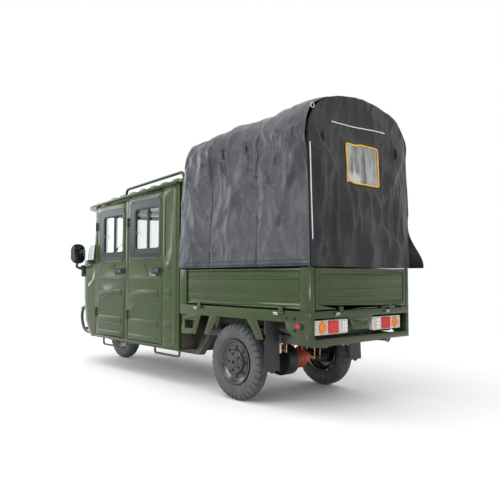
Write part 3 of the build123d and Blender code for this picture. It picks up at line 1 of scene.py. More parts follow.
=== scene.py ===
"""Looks of the electric cargo tricycle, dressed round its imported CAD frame.

Everything is in metres in the frame of the CAD: +X forward, +Y left, +Z up, with the origin on
the ground in the middle of the overall length and width.
"""

import json
import logging
import math
from dataclasses import dataclass
from enum import Enum

import bmesh
import bpy
import numpy as np
from mathutils import Matrix, Vector

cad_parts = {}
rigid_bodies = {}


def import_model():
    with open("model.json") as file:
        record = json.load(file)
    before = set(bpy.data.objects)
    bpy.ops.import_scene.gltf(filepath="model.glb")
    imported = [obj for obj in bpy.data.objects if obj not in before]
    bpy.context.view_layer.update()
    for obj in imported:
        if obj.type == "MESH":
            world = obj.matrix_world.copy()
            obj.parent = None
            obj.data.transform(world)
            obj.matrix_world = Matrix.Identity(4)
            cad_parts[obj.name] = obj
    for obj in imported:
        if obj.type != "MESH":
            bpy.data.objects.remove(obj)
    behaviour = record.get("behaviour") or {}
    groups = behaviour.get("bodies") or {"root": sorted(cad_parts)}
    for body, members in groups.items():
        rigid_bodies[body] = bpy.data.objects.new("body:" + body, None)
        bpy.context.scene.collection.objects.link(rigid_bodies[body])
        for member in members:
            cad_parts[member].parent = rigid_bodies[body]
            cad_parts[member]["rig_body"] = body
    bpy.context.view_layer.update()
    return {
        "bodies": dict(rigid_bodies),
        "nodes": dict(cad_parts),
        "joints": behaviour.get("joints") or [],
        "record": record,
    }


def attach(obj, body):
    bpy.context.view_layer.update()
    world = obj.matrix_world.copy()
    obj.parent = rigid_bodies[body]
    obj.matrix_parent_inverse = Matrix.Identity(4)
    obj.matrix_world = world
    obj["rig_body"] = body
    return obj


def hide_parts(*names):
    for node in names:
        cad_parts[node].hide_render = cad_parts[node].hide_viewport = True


LOG = logging.getLogger("tricycle")

REAR_AXLE_X = -1.065
FRONT_AXLE_X = 1.535
TRACK = 0.956
TYRE_R = 0.283

Color = tuple[float, float, float]
Point = tuple[float, float, float]


# Surfaces worked out on grids


@dataclass
class Shell:
    """One surface as plain arrays: vertices (n, 3) and a list of faces."""

    verts: np.ndarray
    faces: list

    def moved(self, matrix: np.ndarray, shift: np.ndarray) -> "Shell":
        """The same surface after a 3 by 3 matrix and a shift."""
        return Shell(self.verts @ np.asarray(matrix, float).T + np.asarray(shift, float), self.faces)


def grid_shell(points: np.ndarray, wrap_u: bool = False, wrap_v: bool = False,
               close_ends: bool = False) -> Shell:
    """Quads over a grid of points.

    Args:
        points: array (nu, nv, 3).
        wrap_u: joins the last row to the first.
        wrap_v: joins the last column to the first.
        close_ends: closes the first and last row, each with one face.

    Returns:
        The surface, with one quad for each cell of the grid.
    """
    nu, nv = points.shape[:2]
    index = np.arange(nu * nv).reshape(nu, nv)
    if wrap_u:
        index = np.vstack([index, index[:1]])
    if wrap_v:
        index = np.hstack([index, index[:, :1]])
    quads = np.stack([index[:-1, :-1], index[1:, :-1], index[1:, 1:], index[:-1, 1:]], axis=-1)
    faces = quads.reshape(-1, 4).tolist()
    if close_ends:
        faces += [list(range(nv)), list(range((nu - 1) * nv, nu * nv))[::-1]]
    return Shell(points.reshape(-1, 3), faces)


def joined(shells: list[Shell]) -> Shell:
    """Several surfaces as one."""
    verts, faces, start = [], [], 0
    for shell in shells:
        verts.append(shell.verts)
        faces += [[i + start for i in face] for face in shell.faces]
        start += len(shell.verts)
    return Shell(np.vstack(verts), faces)


def smoothstep(values: np.ndarray, low: float, high: float) -> np.ndarray:
    """0 below low, 1 above high, and 3t^2 - 2t^3 between them."""
    t = np.clip((values - low) / (high - low), 0, 1)
    return t * t * (3 - 2 * t)


def frames_along(path: np.ndarray) -> tuple[np.ndarray, np.ndarray]:
    """Two unit vectors square to a path at each of its points, with little twist.

    The tangent comes from central differences. The first side vector is the world axis least
    along the path, and each later one is the one before it less its part along the tangent.

    Args:
        path: array (n, 3).

    Returns:
        Two arrays (n, 3), the side vectors.
    """
    tangent = np.gradient(path, axis=0)
    tangent /= np.linalg.norm(tangent, axis=1, keepdims=True)
    side = np.zeros_like(path)
    guess = np.eye(3)[np.argmin(np.abs(tangent[0]))]
    for i, along in enumerate(tangent):
        guess = guess - along * (guess @ along)
        guess = guess / np.linalg.norm(guess)
        side[i] = guess
    return side, np.cross(tangent, side)


def swept(path: np.ndarray, profile: np.ndarray, loop: bool = False) -> Shell:
    """A closed profile carried along a path: point = path(i) + a(j) side(i) + b(j) other(i).

    Args:
        path: array (n, 3).
        profile: array (m, 2) of a and b.
        loop: True where the path ends where it starts.

    Returns:
        The surface, closed at its ends.
    """
    side, other = frames_along(path)
    points = (path[:, None] + profile[None, :, :1] * side[:, None]
              + profile[None, :, 1:] * other[:, None])
    return grid_shell(points, wrap_u=loop, wrap_v=True, close_ends=not loop)


def circle(radius: float, count: int = 12) -> np.ndarray:
    """Points (count, 2) on a circle."""
    angle = np.linspace(0, 2 * math.pi, count, endpoint=False)
    return radius * np.stack([np.cos(angle), np.sin(angle)], axis=1)


def rounded_line(points: list, steps: int = 8, radius: float = 0.03, loop: bool = False) -> np.ndarray:
    """A path through corners, each corner eased by a quadratic curve.

    At a corner B between A and C the curve runs from B + r (A - B) to B + r (C - B), with B as
    its control point and r at most half of either run.

    Args:
        points: the corners.
        steps: points on each curve.
        radius: how far from the corner the curve starts.
        loop: True for a closed path.

    Returns:
        Array (n, 3).
    """
    p = np.asarray(points, float)
    found = [] if loop else [p[:1]]
    count = len(p)
    corners = range(count) if loop else range(1, count - 1)
    t = np.linspace(0, 1, steps)[:, None]
    for i in corners:
        before, here, after = p[i - 1], p[i], p[(i + 1) % count]
        reach_in = min(radius, np.linalg.norm(before - here) / 2) / np.linalg.norm(before - here)
        reach_out = min(radius, np.linalg.norm(after - here) / 2) / np.linalg.norm(after - here)
        start, end = here + (before - here) * reach_in, here + (after - here) * reach_out
        found.append((1 - t) ** 2 * start + 2 * t * (1 - t) * here + t**2 * end)
    if not loop:
        found.append(p[-1:])
    line = np.vstack(found)
    gap = np.linalg.norm(line - np.roll(line, 1, axis=0), axis=1)
    gap[0] = gap[0] if loop else 1
    return line[gap > 1e-6]


def tube(points: list, radius: float, bend: float = 0.03, count: int = 12,
         loop: bool = False) -> Shell:
    """A round bar along corners eased by bend."""
    return swept(rounded_line(points, 8, bend, loop), circle(radius, count), loop)


def pillow_box(center: Point, size: Point, radius: float, steps: int = 4) -> Shell:
    """A box with round edges: each point is sign(n) (half - r) + r n for a unit vector n.

    Args:
        center: middle of the box.
        size: its lengths along x, y and z.
        radius: radius of its edges.
        steps: points on each quarter of its round edges.

    Returns:
        The closed surface.
    """
    half = np.asarray(size, float) / 2
    radius = min(radius, float(half.min()) * 0.999)
    quarter = np.linspace(0, math.pi / 2, steps)
    turn = np.concatenate([quarter + k * math.pi / 2 for k in range(4)])
    x_sign = np.repeat([1, -1, -1, 1], steps)
    y_sign = np.repeat([1, 1, -1, -1], steps)
    rise = np.concatenate([quarter - math.pi / 2, quarter])
    z_sign = np.repeat([-1, 1], steps)
    level = np.cos(rise)[:, None]
    x = x_sign * (half[0] - radius) + radius * level * np.cos(turn)
    y = y_sign * (half[1] - radius) + radius * level * np.sin(turn)
    z = (z_sign * (half[2] - radius) + radius * np.sin(rise))[:, None] + 0 * x
    points = np.stack([x, y, z], axis=-1) + np.asarray(center, float)
    return grid_shell(points, wrap_v=True, close_ends=True)


def revolved(profile: list, count: int, axis: int = 1, center: Point = (0, 0, 0),
             closed: bool = False) -> Shell:
    """A profile turned about an axis: point = centre + along axis + radius (cos, sin) round it.

    Args:
        profile: (radius, along) pairs.
        count: steps round the axis.
        axis: 0, 1 or 2 for an axis along x, y or z.
        center: where along = 0 lies.
        closed: True joins the profile's last point to its first.

    Returns:
        The surface, with its ends closed where the profile is open.
    """
    p = np.asarray(profile, float)
    angle = np.linspace(0, 2 * math.pi, count, endpoint=False)
    ring = np.stack([np.cos(angle), np.sin(angle)], axis=1)
    points = np.zeros((len(p), count, 3))
    first, second = [a for a in range(3) if a != axis]
    points[..., first] = p[:, :1] * ring[None, :, 0]
    points[..., second] = p[:, :1] * ring[None, :, 1]
    points[..., axis] = p[:, 1:]
    return grid_shell(points + np.asarray(center, float), wrap_u=closed, wrap_v=True,
                      close_ends=not closed)


def rounded_rect(width: float, height: float, radius: float, steps: int = 7) -> np.ndarray:
    """Points (4 steps, 2) round a rectangle whose corners are quarter circles."""
    turn = np.linspace(0, math.pi / 2, steps)
    angle = np.concatenate([turn + k * math.pi / 2 for k in range(4)])
    first, second = np.repeat([1, -1, -1, 1], steps), np.repeat([1, 1, -1, -1], steps)
    return np.stack([first * (width / 2 - radius) + radius * np.cos(angle),
                     second * (height / 2 - radius) + radius * np.sin(angle)], axis=1)


def window_ring(outer: tuple, inner: tuple, y_back: float, y_front: float) -> Shell:
    """A flat ring between two rounded rectangles, each (x0, x1, z0, z1, corner radius)."""
    loops = []
    for (x0, x1, z0, z1, radius), y in ((outer, y_back), (outer, y_front), (inner, y_front),
                                        (inner, y_back)):
        p = rounded_rect(x1 - x0, z1 - z0, radius)
        loops.append(np.stack([p[:, 0] + (x0 + x1) / 2, 0 * p[:, 0] + y,
                               p[:, 1] + (z0 + z1) / 2], axis=1))
    return grid_shell(np.array(loops), wrap_u=True, wrap_v=True)


def rounded_plate(profile: list, width: float, height: float, radius: float, axis: int,
                  center: Point) -> Shell:
    """A plate whose outline is a rounded rectangle, drawn in by an inset that changes through it.

    Args:
        profile: (distance along the axis, inset) pairs, from one face to the other.
        width: size along the first other axis.
        height: size along the second other axis.
        radius: corner radius with no inset.
        axis: the plate's own axis, 0, 1 or 2.
        center: where distance 0 lies.

    Returns:
        The closed surface.
    """
    first, second = [a for a in range(3) if a != axis]
    rings = []
    for along, inset in profile:
        p = rounded_rect(width - 2 * inset, height - 2 * inset, max(radius - inset, 0.0005))
        ring = np.zeros((len(p), 3))
        ring[:, first], ring[:, second], ring[:, axis] = p[:, 0], p[:, 1], along
        rings.append(ring)
    return grid_shell(np.array(rings) + np.asarray(center, float), wrap_v=True, close_ends=True)


def mirrored(shell: Shell, hand: int) -> Shell:
    """The same surface for hand 1, or its mirror image across the middle for hand -1."""
    return shell.moved(np.diag([1, hand, 1]), (0, 0, 0))


def flipped(shell: Shell) -> Shell:
    """The same surface with its faces turned over."""
    return Shell(shell.verts, [face[::-1] for face in shell.faces])


def bolt_head(center: Point, axis: int, sign: int, radius: float = 0.008,
              height: float = 0.006) -> Shell:
    """A hexagon head with a chamfer on a round washer, standing from center along an axis."""
    washer = revolved([(radius * 1.35, 0), (radius * 1.35, height * 0.22), (radius, height * 0.22)],
                      16, axis, (0, 0, 0))
    head = revolved([(radius, height * 0.2), (radius, height * 0.85), (radius * 0.82, height),
                     (0.0005, height)], 6, axis, (0, 0, 0))
    both = joined([washer, head])
    flip = np.eye(3)
    flip[axis, axis] = sign
    return both.moved(flip, center)


def value_noise(x: np.ndarray, y: np.ndarray, cell: float, seed: int) -> np.ndarray:
    """Smooth noise from -1 to 1: seeded values on a square lattice, blended by smoothstep."""
    table = np.random.default_rng(seed).uniform(-1, 1, (64, 64))
    u, v = x / cell, y / cell
    i, j = np.floor(u).astype(int), np.floor(v).astype(int)
    fu, fv = u - i, v - j
    fu, fv = fu * fu * (3 - 2 * fu), fv * fv * (3 - 2 * fv)
    a = table[i % 64, j % 64] * (1 - fu) + table[(i + 1) % 64, j % 64] * fu
    b = table[i % 64, (j + 1) % 64] * (1 - fu) + table[(i + 1) % 64, (j + 1) % 64] * fu
    return a * (1 - fv) + b * fv


# Materials


class Graph:
    """A material's node tree with a Principled shader, and short calls to add nodes."""

    def __init__(self, name: str) -> None:
        """Starts a material of that name."""
        self.material = bpy.data.materials.new(name)
        self.material.use_nodes = True
        self.tree = self.material.node_tree
        self.tree.nodes.clear()
        self.output = self.tree.nodes.new("ShaderNodeOutputMaterial")
        self.shader = self.tree.nodes.new("ShaderNodeBsdfPrincipled")
        self.link(self.shader.outputs["BSDF"], self.output.inputs["Surface"])
        self.coords = self.tree.nodes.new("ShaderNodeTexCoord")

    def link(self, source: bpy.types.NodeSocket, target: bpy.types.NodeSocket) -> None:
        """Joins an output to an input."""
        self.tree.links.new(source, target)

    def set(self, **values: object) -> None:
        """Sets the shader's own sockets, spaces written as underscores."""
        for key, value in values.items():
            self.shader.inputs[key.replace("_", " ")].default_value = value

    def place(self, scale: Point = (1, 1, 1), coords: str = "Object") -> bpy.types.NodeSocket:
        """Coordinates on the object or its UV map, stretched by scale."""
        node = self.tree.nodes.new("ShaderNodeMapping")
        node.inputs["Scale"].default_value = scale
        self.link(self.coords.outputs[coords], node.inputs["Vector"])
        return node.outputs["Vector"]

    def noise(self, scale: float, detail: float = 2, rough: float = 0.5,
              vector: bpy.types.NodeSocket | None = None) -> bpy.types.NodeSocket:
        """Noise on Object coordinates or on another vector."""
        node = self.tree.nodes.new("ShaderNodeTexNoise")
        node.inputs["Scale"].default_value = scale
        node.inputs["Detail"].default_value = detail
        node.inputs["Roughness"].default_value = rough
        self.link(vector or self.coords.outputs["Object"], node.inputs["Vector"])
        return node.outputs["Fac"]

    def cells(self, scale: float, feature: str = "F1",
              vector: bpy.types.NodeSocket | None = None) -> bpy.types.NodeSocket:
        """Distance in a Voronoi pattern."""
        node = self.tree.nodes.new("ShaderNodeTexVoronoi")
        node.feature = feature
        node.inputs["Scale"].default_value = scale
        self.link(vector or self.coords.outputs["Object"], node.inputs["Vector"])
        return node.outputs["Distance"]

    def waves(self, scale: float, direction: str, distortion: float = 0,
              vector: bpy.types.NodeSocket | None = None) -> bpy.types.NodeSocket:
        """Sine bands along X, Y or Z."""
        node = self.tree.nodes.new("ShaderNodeTexWave")
        node.bands_direction = direction
        node.inputs["Scale"].default_value = scale
        node.inputs["Distortion"].default_value = distortion
        self.link(vector or self.coords.outputs["Object"], node.inputs["Vector"])
        return node.outputs["Fac"]

    def levels(self, value: bpy.types.NodeSocket, low: float, high: float, out_low: float,
               out_high: float) -> bpy.types.NodeSocket:
        """A value from low..high carried to out_low..out_high and held there."""
        node = self.tree.nodes.new("ShaderNodeMapRange")
        for key, number in (("From Min", low), ("From Max", high), ("To Min", out_low),
                            ("To Max", out_high)):
            node.inputs[key].default_value = number
        self.link(value, node.inputs["Value"])
        return node.outputs["Result"]

    def blend(self, fac: bpy.types.NodeSocket, first: object, second: object) -> bpy.types.NodeSocket:
        """Mixes two colours, each a colour or a socket."""
        node = self.tree.nodes.new("ShaderNodeMix")
        node.data_type = "RGBA"
        self.link(fac, node.inputs["Factor"])
        for key, value in (("A", first), ("B", second)):
            socket = [s for s in node.inputs if s.name == key and s.type == "RGBA"][0]
            if isinstance(value, bpy.types.NodeSocket):
                self.link(value, socket)
            else:
                socket.default_value = (*value, 1)
        return [s for s in node.outputs if s.type == "RGBA"][0]

    def sum(self, parts: list[tuple[bpy.types.NodeSocket, float]]) -> bpy.types.NodeSocket:
        """The weighted sum of several values."""
        total = None
        for value, weight in parts:
            node = self.tree.nodes.new("ShaderNodeMath")
            node.operation = "MULTIPLY_ADD"
            self.link(value, node.inputs[0])
            node.inputs[1].default_value = weight
            if total is None:
                node.inputs[2].default_value = 0
            else:
                self.link(total, node.inputs[2])
            total = node.outputs[0]
        return total

    def bump(self, height: bpy.types.NodeSocket, distance: float, strength: float = 1) -> None:
        """Bumps the shader's normal by a height in metres times distance."""
        node = self.tree.nodes.new("ShaderNodeBump")
        node.inputs["Strength"].default_value = strength
        node.inputs["Distance"].default_value = distance
        self.link(height, node.inputs["Height"])
        self.link(node.outputs["Normal"], self.shader.inputs["Normal"])


@dataclass(frozen=True)
class Paint:
    """Sprayed paint: soft colour drift, orange peel and road dust low down."""

    name: str
    color: Color
    rough: float = 0.22
    coat: float = 0.5
    dust: float = 0.12
    metallic: float = 0.0
    gloss: float = 0.5

    def make(self) -> bpy.types.Material:
        """Builds the material."""
        g = Graph(self.name)
        g.set(Metallic=self.metallic, Coat_Weight=self.coat, Coat_Roughness=0.06, IOR=1.5,
              Specular_IOR_Level=self.gloss)
        dark = tuple(c * 0.8 for c in self.color)
        drift = g.blend(g.levels(g.noise(2.3, 3), 0.35, 0.65, 0, 1), dark, self.color)
        height = g.tree.nodes.new("ShaderNodeSeparateXYZ")
        g.link(g.coords.outputs["Object"], height.inputs[0])
        low = g.levels(height.outputs["Z"], 0.75, 0.2, 0, self.dust)
        specks = g.sum([(low, 0.6), (g.levels(g.noise(26, 5, 0.7), 0.5, 0.75, 0, self.dust), 0.7)])
        g.link(g.blend(specks, drift, (0.23, 0.21, 0.17)), g.shader.inputs["Base Color"])
        wear = g.levels(g.noise(9, 4), 0.3, 0.7, self.rough * 0.8, self.rough * 1.35)
        g.link(wear, g.shader.inputs["Roughness"])
        g.bump(g.sum([(g.noise(900, 2), 0.5), (g.noise(150, 2), 0.5)]), 0.00012, 0.6)
        return g.material


@dataclass(frozen=True)
class Moulded:
    """Plastic, rubber or cast metal: one colour with a fine grain."""

    name: str
    color: Color
    rough: float
    grain: float = 700.0
    depth: float = 0.0002
    metallic: float = 0.0
    drift: float = 0.25

    def make(self) -> bpy.types.Material:
        """Builds the material."""
        g = Graph(self.name)
        g.set(Metallic=self.metallic)
        pale = tuple(min(1, c * (1 + self.drift) + 0.01 * self.drift) for c in self.color)
        g.link(g.blend(g.levels(g.noise(7, 4, 0.6), 0.35, 0.7, 0, 1), self.color, pale),
               g.shader.inputs["Base Color"])
        g.link(g.levels(g.noise(24, 3), 0.3, 0.7, self.rough * 0.88, min(1, self.rough * 1.12)),
               g.shader.inputs["Roughness"])
        g.bump(g.sum([(g.cells(self.grain), 0.7), (g.noise(self.grain * 0.6, 2), 0.3)]), self.depth)
        return g.material


@dataclass(frozen=True)
class Plated:
    """Zinc or chrome plate: brushed grain and a drift between two tints."""

    name: str
    color: Color
    tint: Color
    rough: float

    def make(self) -> bpy.types.Material:
        """Builds the material."""
        g = Graph(self.name)
        g.set(Metallic=1.0)
        g.link(g.blend(g.levels(g.noise(38, 4), 0.4, 0.62, 0, 1), self.color, self.tint),
               g.shader.inputs["Base Color"])
        g.link(g.levels(g.noise(90, 3), 0.3, 0.7, self.rough * 0.7, self.rough * 1.4),
               g.shader.inputs["Roughness"])
        g.bump(g.noise(500, 3), 0.0001, 0.5)
        return g.material


@dataclass(frozen=True)
class Canvas:
    """Coated woven cloth: threads both ways on the UV map, in metres, and a dull sheen."""

    name: str
    color: Color
    worn: Color
    rough: float = 0.34

    def make(self) -> bpy.types.Material:
        """Builds the material."""
        g = Graph(self.name)
        g.set(Coat_Weight=0.10, Coat_Roughness=0.22, Sheen_Weight=0.04, Sheen_Roughness=0.5,
              Specular_IOR_Level=0.3)
        uv = g.place((1, 1, 1), "UV")
        warp = g.waves(95, "X", 0.4, uv)
        weft = g.waves(95, "Y", 0.4, uv)
        patches = g.levels(g.noise(5.5, 5, 0.62), 0.42, 0.66, 0, 1)
        cloth = g.blend(patches, self.color, self.worn)
        # Painted highlight: fine pale crease lines from noise, a paler copy of the worn colour, stand in for
        # light caught on crease ridges.
        painted_crease_highlights = g.levels(g.noise(60, 6, 0.72), 0.6, 0.78, 0, 0.35)
        g.link(g.blend(painted_crease_highlights, cloth, tuple(c * 1.45 for c in self.worn)),
               g.shader.inputs["Base Color"])
        g.link(g.levels(g.noise(11, 4), 0.3, 0.7, self.rough * 0.8, self.rough * 1.3),
               g.shader.inputs["Roughness"])
        g.bump(g.sum([(warp, 0.05), (weft, 0.05), (g.noise(34, 6, 0.7), 1.2)]), 0.0035, 0.8)
        return g.material


@dataclass(frozen=True)
class Vinyl:
    """Leather-like seat cover with pebbled grain."""

    name: str
    color: Color
    rough: float = 0.5

    def make(self) -> bpy.types.Material:
        """Builds the material."""
        g = Graph(self.name)
        pale = tuple(c * 1.5 + 0.01 for c in self.color)
        g.link(g.blend(g.levels(g.noise(9, 4), 0.4, 0.7, 0, 1), self.color, pale),
               g.shader.inputs["Base Color"])
        g.set(Roughness=self.rough)
        g.bump(g.sum([(g.cells(320, "DISTANCE_TO_EDGE"), 1.0), (g.noise(60, 3), 0.4)]), 0.0009)
        return g.material


@dataclass(frozen=True)
class Fade:
    """Glossy print on glass, dark low down, with a painted sky reflection that pales it towards the top."""

    name: str
    low: Color
    high: Color
    from_z: float
    to_z: float

    def make(self) -> bpy.types.Material:
        """Builds the material."""
        g = Graph(self.name)
        g.set(Roughness=0.22, Specular_IOR_Level=0.22)
        place = g.tree.nodes.new("ShaderNodeSeparateXYZ")
        g.link(g.coords.outputs["Object"], place.inputs[0])
        # Painted reflection: with height the print blends towards the pale colour, standing in for the sky it
        # mirrors, with a little random drift.
        share = g.sum([(g.levels(place.outputs["Z"], self.from_z, self.to_z, 0, 1), 0.85),
                       (g.levels(g.noise(5, 3), 0.35, 0.65, 0, 1), 0.15)])
        g.link(g.blend(share, self.low, self.high), g.shader.inputs["Base Color"])
        return g.material


@dataclass(frozen=True)
class Streaks:
    """Clear sheet drawn opaque: the dark colour is painted shade of the canopy's inside seen through it,
    slanting pale streaks are painted reflection, and a painted highlight is palest low on the left.
    """

    name: str
    dark: Color
    pale: Color
    rough: float

    def make(self) -> bpy.types.Material:
        """Builds the material."""
        g = Graph(self.name)
        g.set(Roughness=self.rough, Specular_IOR_Level=0.6, Coat_Weight=0.4, Coat_Roughness=0.08)
        spot = g.place((1, 9, 1.6))
        # Painted reflection: slanting pale streaks laid into the colour.
        painted_reflection_streak = g.levels(g.noise(2.4, 5, 0.62, spot), 0.36, 0.64, 0, 1)
        place = g.tree.nodes.new("ShaderNodeSeparateXYZ")
        g.link(g.coords.outputs["Object"], place.inputs[0])
        # Painted highlight: the corner low on the left is pushed towards the pale colour.
        low = g.levels(place.outputs["Z"], 1.66, 1.61, 0, 1)
        left = g.levels(place.outputs["Y"], 0.02, 0.06, 0, 1)
        corner = g.tree.nodes.new("ShaderNodeMath")
        corner.operation = "MULTIPLY"
        g.link(low, corner.inputs[0])
        g.link(left, corner.inputs[1])
        share = g.sum([(painted_reflection_streak, 0.75), (corner.outputs[0], 0.9)])
        g.link(g.blend(share, self.dark, self.pale), g.shader.inputs["Base Color"])
        return g.material


@dataclass(frozen=True)
class Clear:
    """Glass, clear vinyl or lamp plastic."""

    name: str
    color: Color
    rough: float = 0.03
    transmission: float = 1.0
    alpha: float = 1.0
    prisms: float = 0.0

    def make(self) -> bpy.types.Material:
        """Builds the material."""
        g = Graph(self.name)
        g.set(Base_Color=(*self.color, 1), Roughness=self.rough, IOR=1.45, Alpha=self.alpha,
              Transmission_Weight=self.transmission)
        if self.prisms:
            ribs = g.sum([(g.waves(self.prisms, "Y"), 0.5), (g.waves(self.prisms, "Z"), 0.5)])
            g.bump(ribs, 0.0012)
        else:
            g.bump(g.noise(6, 2), 0.0006, 0.3)
        return g.material


class Look(Enum):
    """Every finish on the tricycle."""

    GREEN = Paint("olive_gloss", (0.030, 0.054, 0.011), 0.17, 0.16, 0.035, 0.0, 0.3)
    FRAME_BLACK = Paint("chassis_black", (0.012, 0.012, 0.013), 0.35, 0.2, 0.25)
    RIM = Paint("rim_black", (0.016, 0.017, 0.019), 0.2, 0.3, 0.04)
    HINGE = Plated("dull_zinc", (0.30, 0.33, 0.27), (0.46, 0.48, 0.42), 0.42)
    FINS = Paint("motor_red", (0.46, 0.075, 0.035), 0.3, 0.15, 0.1, 0.25)
    CASE = Moulded("black_casting", (0.015, 0.015, 0.016), 0.42, 500, 0.0004, 0.3)
    TYRE = Moulded("tyre_rubber", (0.050, 0.052, 0.056), 0.72, 420, 0.0003, 0, 0.7)
    RUBBER = Moulded("flap_rubber", (0.02, 0.02, 0.021), 0.62, 380, 0.0004, 0, 0.7)
    PLASTIC = Moulded("black_plastic", (0.014, 0.014, 0.015), 0.4, 900, 0.00015)
    ZINC = Plated("yellow_zinc", (0.72, 0.52, 0.2), (0.6, 0.5, 0.36), 0.3)
    STEEL = Plated("plain_steel", (0.62, 0.62, 0.62), (0.5, 0.5, 0.52), 0.28)
    CHROME = Plated("bright_plate", (0.85, 0.85, 0.86), (0.8, 0.8, 0.82), 0.06)
    CANVAS = Canvas("slate_canvas", (0.032, 0.036, 0.046), (0.046, 0.050, 0.062), 0.27)
    CANVAS_REAR = Canvas("curtain_canvas", (0.005, 0.0055, 0.007), (0.013, 0.013, 0.015))
    CANVAS_HEM = Canvas("hem_canvas", (0.008, 0.009, 0.011), (0.016, 0.017, 0.020))
    PIPING = Moulded("yellow_piping", (0.75, 0.42, 0.03), 0.55, 600, 0.0002)
    ZIP = Moulded("pale_zip", (0.6, 0.6, 0.6), 0.5, 300, 0.0006)
    VINYL = Vinyl("seat_vinyl", (0.016, 0.016, 0.018))
    GLASS = Clear("clear_glass", (0.93, 0.97, 0.95))
    # Rear window sheet: painted shade of the inside, painted reflection streaks and a painted highlight.
    CLEAR_VINYL = Streaks("clear_vinyl_painted_shade_and_reflection", (0.035, 0.037, 0.040), (0.46, 0.48, 0.47), 0.16)
    LENS_AMBER = Clear("amber_lens", (1.0, 0.3, 0.01), 0.12, 0.25, 1, 60)
    LENS_RED = Clear("red_lens", (0.75, 0.012, 0.02), 0.12, 0.2, 1, 60)
    LENS_CLEAR = Clear("clear_lens", (0.85, 0.83, 0.78), 0.12, 0.4, 1, 60)
    LAMP_SHELL = Moulded("pale_lamp_shell", (0.74, 0.70, 0.63), 0.3, 800, 0.0001)
    # Painted reflection: the mirror's plate is dark grey, standing in for the dark surroundings it reflects.
    MIRROR = Plated("mirror_glass_painted_dark_reflection", (0.11, 0.125, 0.115), (0.12, 0.13, 0.12), 0.08)
    # Dark window print; its upper part is paled by a painted sky reflection.
    BORDER = Fade("window_print_painted_sky_reflection", (0.008, 0.008, 0.010), (0.070, 0.074, 0.088), 1.15, 1.50)
    CASE_GREEN = Moulded("mirror_shell", (0.026, 0.032, 0.024), 0.22, 900, 0.0001)
    LEAD = Moulded("orange_lead", (0.52, 0.10, 0.03), 0.4, 900, 0.0001)
    KEY_FACE = Moulded("lock_face", (0.07, 0.16, 0.3), 0.3, 900, 0.0001)
    DIAL = Moulded("dial_face", (0.02, 0.022, 0.025), 0.35, 900, 0.0001)

    def material(self) -> bpy.types.Material:
        """The finish's material, built once."""
        return bpy.data.materials.get(self.value.name) or self.value.make()


# Putting pieces into the scene


def put(name: str, shell: Shell, look: Look, body: str, sharp: float = 38,
        bevel: float = 0.0, thick: float = 0.0, closed: bool = True,
        uv: np.ndarray | None = None) -> bpy.types.Object:
    """Makes an object of a surface and has it ride on a CAD body.

    Args:
        name: the piece's name.
        shell: its surface.
        look: its finish.
        body: the CAD body that carries it.
        sharp: edges that turn by more degrees than this stay sharp.
        bevel: width of a Bevel modifier, 0 for none.
        thick: thickness of a Solidify modifier, 0 for none.
        closed: True turns the faces outward.
        uv: array (n, 2), a UV place for each vertex.

    Returns:
        The new object.
    """
    mesh = bpy.data.meshes.new(name)
    mesh.from_pydata(shell.verts.tolist(), [], shell.faces)
    mesh.validate()
    if closed:
        work = bmesh.new()
        work.from_mesh(mesh)
        bmesh.ops.recalc_face_normals(work, faces=work.faces)
        work.to_mesh(mesh)
        work.free()
    if uv is not None:
        layer = mesh.uv_layers.new(name="UVMap")
        loops = np.zeros(len(mesh.loops), int)
        mesh.loops.foreach_get("vertex_index", loops)
        layer.data.foreach_set("uv", uv[loops].astype(np.float32).ravel())
    mesh.shade_smooth()
    mesh.set_sharp_from_angle(angle=math.radians(sharp))
    obj = bpy.data.objects.new(name, mesh)
    bpy.context.scene.collection.objects.link(obj)
    mesh.materials.append(look.material())
    finish_piece(obj, bevel, thick)
    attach(obj, body)
    LOG.info("%s: %d faces", name, len(mesh.polygons))
    return obj


def finish_piece(obj: bpy.types.Object, bevel: float, thick: float) -> None:
    """Adds the modifiers that give a piece its wall and its round edges."""
    if thick:
        wall = obj.modifiers.new("wall", "SOLIDIFY")
        wall.thickness = thick
        wall.offset = 0
    if bevel:
        edge = obj.modifiers.new("edge", "BEVEL")
        edge.width = bevel
        edge.segments = 2
        edge.limit_method = "ANGLE"
        edge.angle_limit = math.radians(40)
        edge.harden_normals = True
        edge.use_clamp_overlap = True


def skin(frame: dict, node: str, look: Look, bevel: float = 0.0015, sharp: float = 30) -> None:
    """Shows a CAD node as a merged copy with round edges and its finish.

    Args:
        node: the CAD node.
        look: its finish.
        bevel: width of its round edges, 0 for none.
        sharp: edges that turn by more degrees than this stay sharp where nothing is bevelled.
    """
    source = frame["nodes"][node]
    mesh = source.data.copy()
    mesh.name = f"skin_{node}"
    work = bmesh.new()
    work.from_mesh(mesh)
    bmesh.ops.remove_doubles(work, verts=work.verts, dist=2e-5)
    bmesh.ops.dissolve_limit(work, angle_limit=math.radians(0.6), verts=work.verts,
                             edges=work.edges)
    work.to_mesh(mesh)
    work.free()
    mesh.materials.clear()
    mesh.materials.append(look.material())
    mesh.shade_smooth()
    if not bevel:
        mesh.set_sharp_from_angle(angle=math.radians(sharp))
    obj = bpy.data.objects.new(f"skin_{node}", mesh)
    bpy.context.scene.collection.objects.link(obj)
    if bevel:
        edge = obj.modifiers.new("edge", "BEVEL")
        edge.width = bevel
        edge.segments = 2
        edge.limit_method = "ANGLE"
        edge.angle_limit = math.radians(sharp)
        edge.harden_normals = True
        edge.use_clamp_overlap = False
    body = source["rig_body"]
    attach(obj, body)
    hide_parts(node)


# Camera, floor and light


